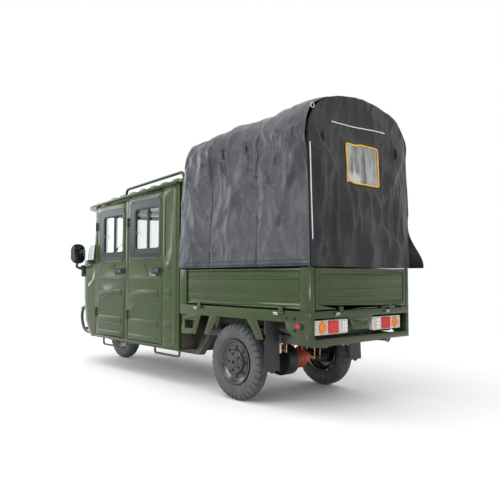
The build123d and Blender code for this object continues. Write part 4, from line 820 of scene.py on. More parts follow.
@dataclass
class Viewpoint:
    """The photograph's camera, from its fitted place and angles."""

    place: Point = (-4.3379, 3.2365, 0.9067)
    yaw: float = 0.7193
    pitch: float = 0.05
    roll: float = 0.001
    focal_px: float = 564.31
    frame_px: float = 500.0
    sensor_mm: float = 36.0

    def build(self) -> None:
        """Adds the camera and makes it the scene's."""
        data = bpy.data.cameras.new("viewpoint")
        data.sensor_width = self.sensor_mm
        data.lens = self.focal_px / self.frame_px * self.sensor_mm
        camera = bpy.data.objects.new("viewpoint", data)
        bpy.context.scene.collection.objects.link(camera)
        camera.location = self.place
        look = Vector((math.cos(self.yaw) * math.cos(self.pitch),
                       -math.sin(self.yaw) * math.cos(self.pitch), math.sin(self.pitch)))
        camera.rotation_mode = "QUATERNION"
        turn = look.to_track_quat("-Z", "Y")
        camera.rotation_quaternion = turn @ Matrix.Rotation(self.roll, 3, "Z").to_quaternion()
        data.clip_end = 100
        bpy.context.scene.camera = camera
        bpy.context.scene.view_settings.view_transform = "Standard"


@dataclass
class Studio:
    """A pale floor that fades out, a white surround and soft lamps."""

    floor_size: float = 14.0
    fade_start: float = 2.6
    fade_end: float = 5.2
    world_light: float = 1.0

    def build(self) -> None:
        """Adds the floor, the surround and the lamps."""
        self.add_floor()
        self.add_world()
        lamps = (
            # name, place, size, watts, aim
            ("overhead", (-0.4, 1.8, 5.6), 3.6, 80, (0, 0, 0.6)),
            ("left_side", (0.4, 5.4, 2.2), 2.2, 95, (0.0, 0, 0.9)),
            ("rear", (-6.2, -1.2, 2.8), 2.6, 8, (-1.5, 0, 1.1)),
            ("front", (5.4, 1.6, 2.6), 3.0, 50, (1.2, 0, 1.0)),
        )
        for name, place, size, watts, aim in lamps:
            data = bpy.data.lights.new(name, "AREA")
            data.size = size
            data.energy = watts
            lamp = bpy.data.objects.new(name, data)
            bpy.context.scene.collection.objects.link(lamp)
            lamp.location = place
            lamp.rotation_mode = "QUATERNION"
            aim_at = Vector(aim) - Vector(place)
            lamp.rotation_quaternion = aim_at.to_track_quat("-Z", "Y")

    def add_floor(self) -> None:
        """A pale floor whose rim fades to nothing, by distance from the middle."""
        half = self.floor_size / 2
        mesh = bpy.data.meshes.new("studio_floor")
        mesh.from_pydata([(-half, -half, 0), (half, -half, 0), (half, half, 0), (-half, half, 0)],
                         [], [(0, 1, 2, 3)])
        floor = bpy.data.objects.new("studio_floor", mesh)
        bpy.context.scene.collection.objects.link(floor)
        g = Graph("studio_floor")
        g.set(Base_Color=(0.97, 0.97, 0.97, 1), Roughness=0.8, Specular_IOR_Level=0.1)
        length = g.tree.nodes.new("ShaderNodeVectorMath")
        length.operation = "LENGTH"
        g.link(g.coords.outputs["Object"], length.inputs[0])
        fade = g.levels(length.outputs["Value"], self.fade_start, self.fade_end, 0, 1)
        nothing = g.tree.nodes.new("ShaderNodeBsdfTransparent")
        mixer = g.tree.nodes.new("ShaderNodeMixShader")
        g.link(fade, mixer.inputs["Fac"])
        g.link(g.shader.outputs["BSDF"], mixer.inputs[1])
        g.link(nothing.outputs["BSDF"], mixer.inputs[2])
        g.link(mixer.outputs["Shader"], g.output.inputs["Surface"])
        mesh.materials.append(g.material)

    def add_world(self) -> None:
        """White where it is seen, mirrored or seen through glass, and softer as a light."""
        world = bpy.data.worlds.new("surround")
        bpy.context.scene.world = world
        world.use_nodes = True
        tree = world.node_tree
        tree.nodes.clear()
        output = tree.nodes.new("ShaderNodeOutputWorld")
        rays = tree.nodes.new("ShaderNodeLightPath")
        total = None
        for key in ("Is Camera Ray", "Is Glossy Ray", "Is Transmission Ray"):
            if total is None:
                total = rays.outputs[key]
                continue
            node = tree.nodes.new("ShaderNodeMath")
            node.operation = "MAXIMUM"
            tree.links.new(total, node.inputs[0])
            tree.links.new(rays.outputs[key], node.inputs[1])
            total = node.outputs[0]
        level = tree.nodes.new("ShaderNodeMapRange")
        level.inputs["To Min"].default_value = self.world_light
        level.inputs["To Max"].default_value = 1.0
        tree.links.new(total, level.inputs["Value"])
        background = tree.nodes.new("ShaderNodeBackground")
        background.inputs["Color"].default_value = (1, 1, 1, 1)
        tree.links.new(level.outputs["Result"], background.inputs["Strength"])
        tree.links.new(background.outputs["Background"], output.inputs["Surface"])


# Sub-assemblies


@dataclass
class Bodywork:
    """The painted, plated and moulded CAD nodes, shown with round edges."""

    frame: dict

    def build(self) -> None:
        """Dresses every node that keeps its CAD shape."""
        groups = {
            Look.GREEN: (
                ("bed_brackets", 0.0012), ("bed_floor", 0.002),
                ("bed_posts", 0.002), ("headboard", 0.0015), ("rear_frame", 0.002),
                ("side_board_left", 0.002), ("side_board_right", 0.002), ("tailgate", 0.002),
                ("cab_floor", 0.002), ("cab_nose", 0.0), ("cab_pillars", 0.0015),
                ("cab_roof", 0.004), ("roof_rails", 0.0),
                ("door_front_left", 0.0015), ("door_front_right", 0.0015),
                ("door_rear_left", 0.0015), ("door_rear_right", 0.0015),
            ),
            Look.FRAME_BLACK: (
                ("chassis_rails", 0.004), ("cross_members", 0.002), ("leaf_springs", 0.0),
                ("entry_steps", 0.0), ("fork", 0.0), ("head_tube", 0.0),
                # cab_rear_wall takes the chassis black as painted shade for the dark gap between cab and bed.
                ("canopy_hoops", 0.0), ("front_fender", 0.0), ("cab_rear_wall", 0.002),
            ),
            Look.ZINC: (("spring_clamps", 0.0015),),
            Look.HINGE: (("bed_hinges", 0.0008),),
            Look.STEEL: (("handlebar", 0.0),),
            Look.FINS: (("drive_motor", 0.001),),
            Look.CASE: (("rear_axle", 0.002),),
            Look.RUBBER: (("mud_flaps", 0.001),),
            Look.GLASS: (
                ("cab_glass", 0.0), ("window_front_left", 0.0), ("window_front_right", 0.0),
                ("window_rear_left", 0.0), ("window_rear_right", 0.0),
            ),
            Look.PLASTIC: (
                ("dashboard", 0.004), ("seat_boxes", 0.004),
                ("battery_box", 0.004),
            ),
        }
        for look, nodes in groups.items():
            for node, bevel in nodes:
                skin(self.frame, node, look, bevel)
        LOG.info("bodywork: %d looks", len(groups))


@dataclass
class Wheel:
    """One wheel: tyre with block tread and pressed steel rim. Sizes from its middle plane."""

    name: str
    body: str
    x: float
    y: float
    outer: int
    tyre_half_w: float = 0.056
    bead_r: float = 0.160
    tread_depth: float = 0.009
    pitches: int = 34
    vents: int = 8
    vent_pitch_r: float = 0.110
    vent_r: float = 0.0095
    slots: int = 10
    slot_pitch_r: float = 0.077

    def build(self) -> None:
        """Builds the tyre, the rim, its nuts and the valve."""
        self.build_tyre()
        self.build_rim()

    def placed(self, shell: Shell) -> Shell:
        """A wheel shape drawn about the origin, moved to its axle and turned outward."""
        return shell.moved(np.diag([1, self.outer, 1]), (self.x, self.y, TYRE_R))

    def build_tyre(self) -> None:
        """The tyre.

        The section is a superellipse about the mid radius. Over the tread the radius falls by
        the tread depth inside grooves: two zigzag grooves round the tyre, and cross grooves
        whose phase runs with the angle, offset by half a pitch from side to side.
        """
        turns, steps = 476, 62
        angle = np.linspace(0, 2 * math.pi, turns, endpoint=False)[:, None]
        t = np.linspace(-0.32 * math.pi, 1.32 * math.pi, steps)[None, :]
        mid, half_h = (TYRE_R + self.bead_r) / 2, (TYRE_R - self.bead_r) / 2
        power = np.where(np.sin(t) > 0, 2 / 3.1, 2 / 2.2)
        y = self.tyre_half_w * np.sign(np.cos(t)) * np.abs(np.cos(t)) ** power
        r = mid + half_h * np.sign(np.sin(t)) * np.abs(np.sin(t)) ** power
        side = y / self.tyre_half_w
        on_tread = smoothstep(r, TYRE_R - 0.042, TYRE_R - 0.03)
        phase = self.pitches * angle / (2 * math.pi)
        zigzag = np.abs((phase * 2) % 2 - 1) - 0.5
        ring = np.abs(np.abs(side) - 0.36 - 0.09 * zigzag * np.sign(side))
        ring_groove = 1 - smoothstep(ring, 0.035, 0.075)
        cross = np.abs((phase + np.where(side > 0, 0.5, 0) + 0.22 * np.abs(side)) % 1 - 0.5)
        cross_groove = (1 - smoothstep(cross, 0.06, 0.115)) * smoothstep(np.abs(side), 0.36, 0.42)
        sipe = np.abs((phase * 2 + 0.6 * side) % 1 - 0.5)
        centre_groove = 0.6 * (1 - smoothstep(sipe, 0.04, 0.1)) * (1 - smoothstep(np.abs(side), 0.2, 0.26))
        groove = np.maximum(np.maximum(ring_groove, cross_groove), centre_groove)
        bands = 0.0006 * (np.sin((r - self.bead_r) * 900) > 0.2) * (1 - on_tread)
        fall = self.tread_depth * groove * on_tread - bands
        n_y = np.cos(t) / np.hypot(np.cos(t), np.sin(t))
        n_r = np.sin(t) / np.hypot(np.cos(t), np.sin(t))
        r_out, y_out = r - fall * n_r, y - fall * n_y + 0 * angle
        points = np.stack([r_out * np.cos(angle), y_out, r_out * np.sin(angle)], axis=-1)
        shell = self.placed(grid_shell(points, wrap_u=True))
        obj = put(f"tyre_tread_{self.name}", shell, Look.TYRE, self.body, 32)
        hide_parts(f"tyre_{self.name}")

    def build_rim(self) -> None:
        """The rim: a closed profile turned about the axle, its face pitted by vents and slots.

        Where the distance to a vent's middle is under its radius, the face falls by the vent's
        depth, and a lip stands round it. The slots on the raised middle fall where both the
        distance round the rim and the distance along the radius are under half a slot.
        """
        face = [(0.0006, 0.0575), (0.012, 0.0575), (0.018, 0.056), (0.022, 0.0545), (0.040, 0.0545),
                (0.043, 0.052), (0.0445, 0.0475), (0.048, 0.0465), (0.080, 0.0465), (0.0845, 0.0445),
                (0.088, 0.040), (0.0905, 0.034), (0.0925, 0.0275), (0.096, 0.0235), (0.102, 0.0225),
                (0.121, 0.0225), (0.1275, 0.0245), (0.133, 0.0275), (0.140, 0.031), (0.1465, 0.034),
                (0.150, 0.040), (0.153, 0.043), (0.1585, 0.045), (0.163, 0.0462), (0.166, 0.0455)]
        back = [(0.1665, 0.043), (0.164, 0.040), (0.156, 0.0385), (0.1515, 0.036), (0.1515, -0.036),
                (0.156, -0.0385), (0.164, -0.040), (0.1665, -0.043), (0.166, -0.0455),
                (0.163, -0.0462), (0.1585, -0.045), (0.153, -0.043), (0.1475, -0.035),
                (0.1475, -0.022), (0.127, -0.014), (0.127, 0.010), (0.104, 0.0125), (0.03, 0.0155),
                (0.0006, 0.0155)]
        fine = [np.linspace(a, b, max(2, round(math.dist(a, b) / 0.0020)))[:-1]
                for a, b in zip(face[:-1], face[1:])]
        profile = np.vstack([*fine, [face[-1]], back])
        turns = 216
        angle = np.linspace(0, 2 * math.pi, turns, endpoint=False)[None, :]
        r, y = profile[:, :1] + 0 * angle, profile[:, 1:] + 0 * angle
        front = (np.arange(len(profile)) < len(profile) - len(back))[:, None]
        turn = 2 * math.pi * np.arange(self.vents) / self.vents
        cx, cz = self.vent_pitch_r * np.cos(turn), self.vent_pitch_r * np.sin(turn)
        u, w = r * np.cos(angle), r * np.sin(angle)
        near = np.sqrt(np.min((u[..., None] - cx) ** 2 + (w[..., None] - cz) ** 2, axis=-1))
        near = near / self.vent_r
        pit = 0.010 * (1 - smoothstep(near, 0.86, 1.06)) - 0.0012 * np.exp(-((near - 1.25) / 0.13) ** 2)
        step = 2 * math.pi / self.slots
        across = r * np.abs((angle % step) - step / 2)
        inside = np.maximum(across / 0.0075, np.abs(r - self.slot_pitch_r) / 0.0042)
        pit = pit + 0.0035 * (1 - smoothstep(inside, 0.8, 1.1))
        points = np.stack([u, np.where(front, y - pit, y), w], axis=-1)
        obj = put(f"wheel_disc_{self.name}", self.placed(grid_shell(points, wrap_v=True, close_ends=True)),
                  Look.RIM, self.body, 34)
        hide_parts(f"rim_{self.name}")
        nuts = [bolt_head((0.062 * math.cos(a), 0.0462, 0.062 * math.sin(a)), 1, 1, 0.0075, 0.009)
                for a in np.arange(5) * 2 * math.pi / 5]
        nuts.append(bolt_head((0, 0.0565, 0), 1, 1, 0.011, 0.0045))
        put(f"wheel_nuts_{self.name}", self.placed(joined(nuts)), Look.CASE, self.body,
            30)
        valve = tube([(0.140, 0.030, 0.0), (0.138, 0.040, 0.0), (0.134, 0.052, 0.0)], 0.0035, 0.005, 10)
        put(f"wheel_valve_{self.name}", self.placed(valve), Look.ZINC, self.body)


@dataclass
class CanopyCloth:
    """The canopy: one sheet over the hoops, a rear curtain and a front sheet."""

    half_w: float = 0.560
    foot_z: float = 0.987
    shoulder_z: float = 1.850
    rear_top_z: float = 2.187
    front_top_z: float = 2.105
    crown_rise: float = 0.037
    rear_x: float = -1.869
    front_x: float = -0.381
    rear_lean: float = 0.030
    front_lean: float = -0.140
    thickness: float = 0.0016
    columns: int = 184
    rows: int = 228
    run: float = 1.45
    seams: tuple = (0.50, 1.05)
    sheet_long: float = 1.2
    curtain_foot_z: float = 0.9835
    window: tuple = (0.011, 1.711)  # middle of the curtain's opening, y and z
    opening: tuple = (0.160, 0.128)  # half its width and half its height

    def arch(self, top_z: float, count: int) -> np.ndarray:
        """Half width and height along the arch from the left foot to the right one.

        Straight sides run up to the shoulders. Above them a round shoulder and a flatter crown
        meet in line, each an arc of a circle, as in the hoops.

        Args:
            top_z: height of the crown.
            count: points along the arch.

        Returns:
            Array (count, 2) of y and z, evenly spaced.
        """
        rise = top_z - self.shoulder_z
        small = rise - self.crown_rise
        cy = self.half_w - small
        big = (cy**2 + rise**2 - small**2) / (2 * self.crown_rise)
        cz = self.shoulder_z + rise - big
        turn = math.atan2(cy, self.shoulder_z - cz)
        low = np.array([[self.half_w, z] for z in np.linspace(self.foot_z, self.shoulder_z, 80)])
        a = np.linspace(0, math.pi / 2 - turn, 60)
        shoulder = np.stack([cy + small * np.cos(a), self.shoulder_z + small * np.sin(a)], axis=1)
        b = np.linspace(turn, 0, 60)
        crown = np.stack([big * np.sin(b), cz + big * np.cos(b)], axis=1)
        left = np.vstack([low, shoulder[1:], crown[1:]])
        whole = np.vstack([left, left[-2::-1] * [-1, 1]])
        run = np.concatenate([[0], np.cumsum(np.linalg.norm(np.diff(whole, axis=0), axis=1))])
        at = np.linspace(0, run[-1], count)
        return np.stack([np.interp(at, run, whole[:, 0]), np.interp(at, run, whole[:, 1])], axis=1)

    def surface(self) -> tuple[np.ndarray, np.ndarray, np.ndarray]:
        """The smooth sheet over the hoops.

        Returns:
            Points (columns, rows, 3) from rear to front and left foot to right foot, the length
            along the bed of each point, and the length along the arch.
        """
        share = np.linspace(0, 1, self.columns)[:, None, None]
        rear, front = self.arch(self.rear_top_z, self.rows), self.arch(self.front_top_z, self.rows)
        tall = self.rear_top_z - self.foot_z
        rear_x = self.rear_x + (rear[:, 1] - self.foot_z) / tall * self.rear_lean
        front_x = self.front_x + (front[:, 1] - self.foot_z) / tall * self.front_lean
        ends = [np.stack([x, p[:, 0], p[:, 1]], axis=1) for x, p in ((rear_x, rear), (front_x, front))]
        points = ends[0][None] * (1 - share) + ends[1][None] * share
        along = np.broadcast_to(share[..., 0] * self.run, points.shape[:2])
        run = np.concatenate([[0], np.cumsum(np.linalg.norm(np.diff(ends[0], axis=0), axis=1))])
        return points, along, np.broadcast_to(run[None], points.shape[:2])

    def folds(self, u: np.ndarray, v: np.ndarray, lines: list, seed: int, loose: float) -> np.ndarray:
        """How far creased cloth stands out at places (u, v), in metres.

        Each line is a fold from (u0, v0) to (u1, v1) of a width and a height. With d the signed
        distance to the line, it is height exp(-(d / w)^2), where w is 0.6 width on one side and
        1.7 width on the other, so one flank is steep, and it fades at both ends. Smooth noise at
        four scales is added, stretched along v, and facets: 1 - 2 |noise| at three scales.
        """
        out = np.zeros_like(u)
        for u0, v0, u1, v1, width, height in lines:
            du, dv = u1 - u0, v1 - v0
            length = math.hypot(du, dv)
            t = ((u - u0) * du + (v - v0) * dv) / length**2
            d = ((u - u0) * dv - (v - v0) * du) / length
            body = np.exp(-((d / (width * np.where(d > 0, 0.6, 1.7))) ** 2))
            out += height * body * smoothstep(t, -0.05, 0.2) * (1 - smoothstep(t, 0.7, 1.05))
        for cell, height in ((0.34, 0.007), (0.15, 0.005), (0.07, 0.0028), (0.03, 0.0012)):
            out += loose * height * value_noise(u + 3, v * 0.55 + 3, cell, seed + int(cell * 1000))
        for cell, height in ((0.34, 0.0130), (0.15, 0.0062), (0.07, 0.0022)):
            slant = value_noise(u + 0.35 * v + 5, v * 0.6 - 0.2 * u + 5, cell, seed + int(cell * 700))
            out += loose * height * (1 - 2 * np.abs(slant))
        return out

    def build(self) -> None:
        """Builds the three sheets with their hems, zips, window and toggles."""
        self.build_top()
        self.build_rear()
        self.build_front()

    def build_top(self) -> None:
        """The sheet from side hem to side hem.

        It bulges between the seams below the shoulder line, is gathered along that line, and
        sags between the hoops over the crown.
        """
        points, u, v = self.surface()
        total = float(v.max())
        wall = self.shoulder_z - self.foot_z
        rng = np.random.default_rng(11)
        lines = []
        for side in (0, 1):
            def at(height: float, side: int = side) -> float:
                """The place across the sheet that is this high above the side's hem."""
                return height if side == 0 else total - height
            for _ in range(34):
                start = rng.uniform(0.02, 1.42)
                lean, size = rng.uniform(-0.12, 0.12), rng.uniform(0.004, 0.013)
                drop = rng.uniform(0.1, 0.34)
                lines.append((start, at(wall + rng.uniform(-0.02, 0.1)), start + lean,
                              at(wall - drop), rng.uniform(0.012, 0.035), size))
            for seam in self.seams:
                for _ in range(12):
                    z = rng.uniform(0.05, wall)
                    reach = rng.choice([-1, 1]) * rng.uniform(0.08, 0.26)
                    lines.append((seam, at(z), seam + reach, at(z - rng.uniform(-0.1, 0.2)),
                                  rng.uniform(0.012, 0.03), rng.uniform(0.003, 0.009)))
            for u0, z0, u1, z1, w, h in (
                    (0.03, wall - 0.02, 0.36, 0.15, 0.05, 0.016), (0.46, wall - 0.04, 0.2, 0.05, 0.06, 0.014),
                    (1.42, wall - 0.02, 1.12, 0.25, 0.05, 0.014), (0.56, wall - 0.1, 0.98, 0.3, 0.06, 0.010),
                    (1.0, wall - 0.05, 0.6, 0.45, 0.04, 0.010), (1.4, 0.4, 1.08, 0.03, 0.05, 0.010)):
                lines.append((u0, at(z0), u1, at(z1), w, h))
            for _ in range(26):
                start = rng.uniform(0.05, 1.4)
                lines.append((start, at(wall + rng.uniform(0, 0.1)), start + rng.uniform(-0.2, 0.2),
                              at(wall + rng.uniform(0.22, 0.5)), rng.uniform(0.012, 0.03),
                              rng.uniform(0.003, 0.008)))
        out = self.folds(u, v, lines, 5, 1.0)
        on_wall = (1 - smoothstep(np.minimum(v, total - v), wall - 0.15, wall + 0.02))
        seam_near = np.minimum(np.abs(u - self.seams[0]), np.abs(u - self.seams[1]))
        ends_near = np.minimum(u, self.run - u)
        belly = 1 - np.exp(-np.minimum(seam_near, ends_near) / 0.10)
        out = out + 0.014 * belly * on_wall
        out -= 0.006 * np.exp(-((seam_near / 0.007) ** 2)) * on_wall
        gather = np.abs(np.minimum(v, total - v) - wall - 0.03)
        out += 0.020 * np.exp(-((gather / 0.06) ** 2)) * (0.55 + 0.45 * value_noise(u, v, 0.07, 31))
        shoulder = np.exp(-(((np.minimum(v, total - v) - wall - 0.12) / 0.11) ** 2))
        out += 0.024 * shoulder * (0.4 + 0.6 * value_noise(u, v * 0.5, 0.19, 37))
        hoops = np.min([np.abs(u - at_hoop) for at_hoop in (0.02, 0.725, 1.43)], axis=0)
        over = smoothstep(np.minimum(v, total - v), wall + 0.06, wall + 0.25)
        out -= 0.012 * over * smoothstep(hoops, 0.03, 0.35)
        out += 0.018 * over * (1 - smoothstep(u, 0.0, 0.9)) * smoothstep(hoops, 0.0, 0.05)
        out = np.where(hoops < 0.04, np.maximum(out, -0.002), out) + 0.002
        out *= smoothstep(np.minimum(v, total - v), -0.01, 0.03) * 0.7 + 0.3
        normal = np.cross(np.gradient(points, axis=0), np.gradient(points, axis=1))
        normal /= np.linalg.norm(normal, axis=2, keepdims=True)
        if normal[self.columns // 2, self.rows // 2, 2] < 0:
            normal = -normal
        points = points + normal * out[..., None]
        flare = (1 - smoothstep(total - v, 0.02, 0.34)) * (1 - smoothstep(u, 0.02, 0.62))
        points[..., 1] -= 0.150 * flare**1.5
        points[..., 0] -= 0.03 * flare
        uv = np.stack([u, v], axis=-1).reshape(-1, 2)
        obj = put("canopy_cover", grid_shell(points), Look.CANVAS, "frame", 60,
                  thick=self.thickness, closed=False, uv=uv)
        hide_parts("canopy_top")
        trims = []
        for column in (int(self.columns * 0.50 / 1.45), int(self.columns * 1.05 / 1.45)):
            for rows in (slice(3, self.rows * 92 // 300), slice(-self.rows * 92 // 300, -3)):
                path = points[column, rows] + normal[column, rows] * 0.0016
                trims.append(swept(path, circle(1, 8) * [0.0022, 0.0022]))
        hems = []
        for row in (1, -2):
            path = points[2:-2:2, row] + normal[2:-2:2, row] * 0.001
            hems.append(swept(path, circle(1, 10) * [0.0035, 0.0035]))
        for row in (round(0.048 / total * self.rows), -1 - round(0.048 / total * self.rows)):
            path = points[2:-2:2, row] + normal[2:-2:2, row] * 0.0012
            hems.append(swept(path, circle(1, 8) * [0.0016, 0.0026]))
        seams = put("canopy_seams", joined(trims + hems), Look.CANVAS_HEM, "frame", 60)
        area = self.area_of(points)
        self.points, self.normal = points, normal
        self.build_toggles(points, normal)

    def build_toggles(self, points: np.ndarray, normal: np.ndarray) -> None:
        """A strap end with a small buckle at four places along the shoulders, and hem knobs."""
        wall = self.shoulder_z - self.foot_z
        total = float(np.linalg.norm(np.diff(self.arch(self.rear_top_z, 900), axis=0), axis=1).sum())
        parts = []
        for along, height, size in ((0.63, wall + 0.02, 1.0), (0.91, wall + 0.02, 1.0),
                                    (0.50, 0.012, 0.5), (1.05, 0.012, 0.5)):
            for share in (height / total, 1 - height / total):
                column = round(along / 1.45 * (self.columns - 1))
                row = round(share * (self.rows - 1))
                p = points[column, row] + normal[column, row] * 0.004
                parts.append(pillow_box(tuple(p), (0.026 * size, 0.014 * size, 0.036 * size), 0.004 * size))
                if size == 1.0:
                    parts.append(pillow_box(tuple(p - [0, 0, 0.030]), (0.014, 0.007, 0.036), 0.002))
                    loop = circle(0.012, 20)
                    path = np.stack([p[0] + loop[:, 0], np.full(20, p[1]), p[2] + 0.024 + loop[:, 1]],
                                    axis=1)
                    parts.append(swept(path, circle(0.0025, 8), loop=True))
        put("canopy_toggles", joined(parts), Look.PLASTIC, "frame", 40)

    def area_of(self, points: np.ndarray) -> float:
        """Area of a grid of points, cell by cell, in square metres."""
        a = points[1:, :-1] - points[:-1, :-1]
        b = points[:-1, 1:] - points[:-1, :-1]
        return float(np.linalg.norm(np.cross(a, b), axis=2).sum())

    def end_sheet(self, x: float, lean: float, top_z: float, foot_z: float, rows: int,
                  columns: int) -> tuple[np.ndarray, np.ndarray, np.ndarray]:
        """An end sheet inside the arch, as a grid over its width and height.

        Each row is a height between the foot and the arch over that place across the width:
        point = (x + lean share, y, foot + share (arch height at y - foot)).
        """
        arch = self.arch(top_z, 1200)
        y = np.linspace(-1, 1, columns) * (self.half_w - 0.003)
        upper = arch[arch[:, 1] > self.shoulder_z - 0.001]
        tops = np.interp(y, upper[::-1, 0], upper[::-1, 1])
        tops = np.where(np.abs(y) > self.half_w - 0.004, self.shoulder_z, tops)
        share = np.linspace(0, 1, rows)[:, None]
        z = foot_z + share * (tops[None, :] - foot_z)
        yy = np.broadcast_to(y[None, :], z.shape)
        tall = self.rear_top_z - self.foot_z
        xx = x + (z - self.foot_z) / tall * lean
        return np.stack([xx, yy, z], axis=-1), yy, z

    def build_rear(self) -> None:
        """The rear curtain, with the clear window, the zips and their pullers."""
        rows, columns = 172, 158
        points, y, z = self.end_sheet(self.rear_x - 0.003, self.rear_lean, self.rear_top_z - 0.002,
                                      self.curtain_foot_z, rows, columns)
        rng = np.random.default_rng(23)
        lines = []
        for _ in range(16):
            start = rng.uniform(-0.5, 0.5)
            lines.append((start, rng.uniform(1.55, 1.95), start + rng.uniform(-0.08, 0.08),
                          rng.uniform(0.98, 1.25), rng.uniform(0.015, 0.035), rng.uniform(0.005, 0.013)))
        for u0, z0, u1, z1, w, h in (
                (0.54, 1.95, 0.24, 1.55, 0.04, 0.010), (-0.54, 1.90, -0.2, 1.45, 0.04, 0.010),
                (0.50, 1.30, 0.34, 1.0, 0.03, 0.012), (0.54, 1.12, 0.3, 1.2, 0.02, 0.008),
                (-0.10, 1.55, -0.3, 1.08, 0.04, 0.012), (0.1, 1.55, 0.16, 1.0, 0.045, 0.012),
                (-0.52, 1.25, -0.36, 1.02, 0.03, 0.010), (0.54, 1.78, 0.42, 1.74, 0.012, 0.006)):
            lines.append((u0, z0, u1, z1, w, h))
        out = self.folds(y, z, lines, 41, 1.1)
        out += 0.012 * np.cos(y * 21 + 0.7) * (1 - smoothstep(z, 1.0, 1.5))
        edge = smoothstep(self.half_w - np.abs(y), 0.0, 0.10)
        mid_y, mid_z = self.window
        off_pane = np.maximum(np.abs(y - mid_y) - 0.19, np.abs(z - mid_z) - 0.15)
        near_window = smoothstep(off_pane, 0, 0.05)
        out = out * edge * (0.25 + 0.75 * near_window)
        out = out + 0.010 * edge
        points[..., 0] -= out
        points = np.where(np.isfinite(points), points, 0)
        uv = np.stack([y, z], axis=-1).reshape(-1, 2)
        shell = grid_shell(points)
        half_y, half_z = self.opening
        inside = ((np.abs(y - mid_y) < half_y) & (np.abs(z - mid_z) < half_z)).reshape(-1)
        shell.faces = [f for f in shell.faces if not inside[f].all()]
        obj = put("canopy_curtain", shell, Look.CANVAS_REAR, "frame", 60,
                  thick=self.thickness, closed=False, uv=uv)
        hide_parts("canopy_walls")
        self.curtain = points
        pane = self.window_pane(points, y, z)
        trims = self.rear_trims()
        area = self.area_of(points) - 2 * half_y * 2 * half_z

    def on_curtain(self, y_at: float, z_at: float, proud: float) -> np.ndarray:
        """A place on the rear curtain, stood proud of the cloth by a distance."""
        grid = self.curtain.reshape(-1, 3)
        near = np.argmin((grid[:, 1] - y_at) ** 2 + (grid[:, 2] - z_at) ** 2)
        return np.array([grid[near, 0] - proud, y_at, z_at])

    def window_pane(self, points: np.ndarray, y: np.ndarray, z: np.ndarray) -> bpy.types.Object:
        """The clear sheet over the window's opening, on the curtain's own grid, wrinkled."""
        across, up = np.abs(y - 0.009) < 0.180, np.abs(z - 1.711) < 0.141
        wrinkle = 0.0016 * np.sin(y * 70 + z * 12) + 0.0014 * value_noise(y + 2, z, 0.035, 9)
        sheet = points + np.stack([-0.0014 - np.abs(wrinkle), 0 * y, 0 * y], axis=-1)
        shell = grid_shell(sheet)
        inside = (across & up).reshape(-1)
        shell.faces = [f for f in shell.faces if inside[list(f)].all()]
        used = np.unique(np.array(shell.faces))
        index = np.zeros(len(shell.verts), int)
        index[used] = np.arange(len(used))
        shell = Shell(shell.verts[used], [tuple(int(index[k]) for k in f) for f in shell.faces])
        return put("canopy_window", shell, Look.CLEAR_VINYL, "frame", 60, thick=0.0006,
                   closed=False)

    def rear_trims(self) -> list:
        """The piping round the window, both zips and the hem bar."""
        corners = [(0.120, 1.572), (0.176, 1.596), (0.186, 1.846), (0.080, 1.842), (0.030, 1.853),
                   (-0.166, 1.850), (-0.172, 1.572)]
        path = rounded_line([(0, a, b) for a, b in corners], 6, 0.02, loop=True)
        dense = np.vstack([np.linspace(path[i - 1], path[i], 4)[1:] for i in range(len(path))])
        dense = np.array([self.on_curtain(p[1], p[2], 0.0055) for p in dense])
        dense[:, 0] = (dense[:, 0] + np.roll(dense[:, 0], 1) + np.roll(dense[:, 0], -1)) / 3
        piping = put("canopy_piping", swept(dense, circle(0.0055, 10), loop=True), Look.PIPING,
                     "frame", 60)
        zips = []
        for start, end in (((0.324, 1.974), (-0.255, 1.985)), ((0.545, 1.80), (0.540, 1.16))):
            t = np.linspace(0, 1, 60)[:, None]
            line = np.array(start) * (1 - t) + np.array(end) * t
            route = np.array([self.on_curtain(a, b, 0.0035) for a, b in line])
            route[:, 0] = np.convolve(np.pad(route[:, 0], 3, "edge"), np.ones(7) / 7, "valid")
            zips.append(swept(route, circle(1, 10) * [0.0042, 0.0042]))
        zip_obj = put("canopy_zips", joined(zips), Look.ZIP, "frame", 60)
        hem_z = 0.9885
        hem = np.array([self.on_curtain(a, hem_z, 0.002) for a in np.linspace(-0.55, 0.55, 120)])
        hem[:, 0] = np.convolve(np.pad(hem[:, 0], 3, "edge"), np.ones(7) / 7, "valid")
        hem_obj = put("canopy_hem", swept(hem, circle(1, 10) * [0.004, 0.004]), Look.CANVAS_REAR,
                      "frame", 60)
        parts = []
        for a, b in ((0.405, 1.865), (-0.400, 1.862)):
            p = self.on_curtain(a, b, 0.006)
            parts += [pillow_box(tuple(p), (0.014, 0.026, 0.044), 0.004),
                      pillow_box(tuple(p - [0.002, 0, 0.034]), (0.007, 0.014, 0.040), 0.002)]
        put("curtain_toggles", joined(parts), Look.PLASTIC, "frame", 40)
        p = self.on_curtain(0.520, 2.045, 0.004)
        loop = circle(0.016, 24)
        ring = np.stack([np.full(24, p[0] - 0.004), p[1] + loop[:, 0], p[2] + loop[:, 1]], axis=1)
        put("curtain_ring", swept(ring, circle(0.0032, 10), loop=True), Look.STEEL, "frame", 40)
        return [piping, zip_obj, hem_obj]

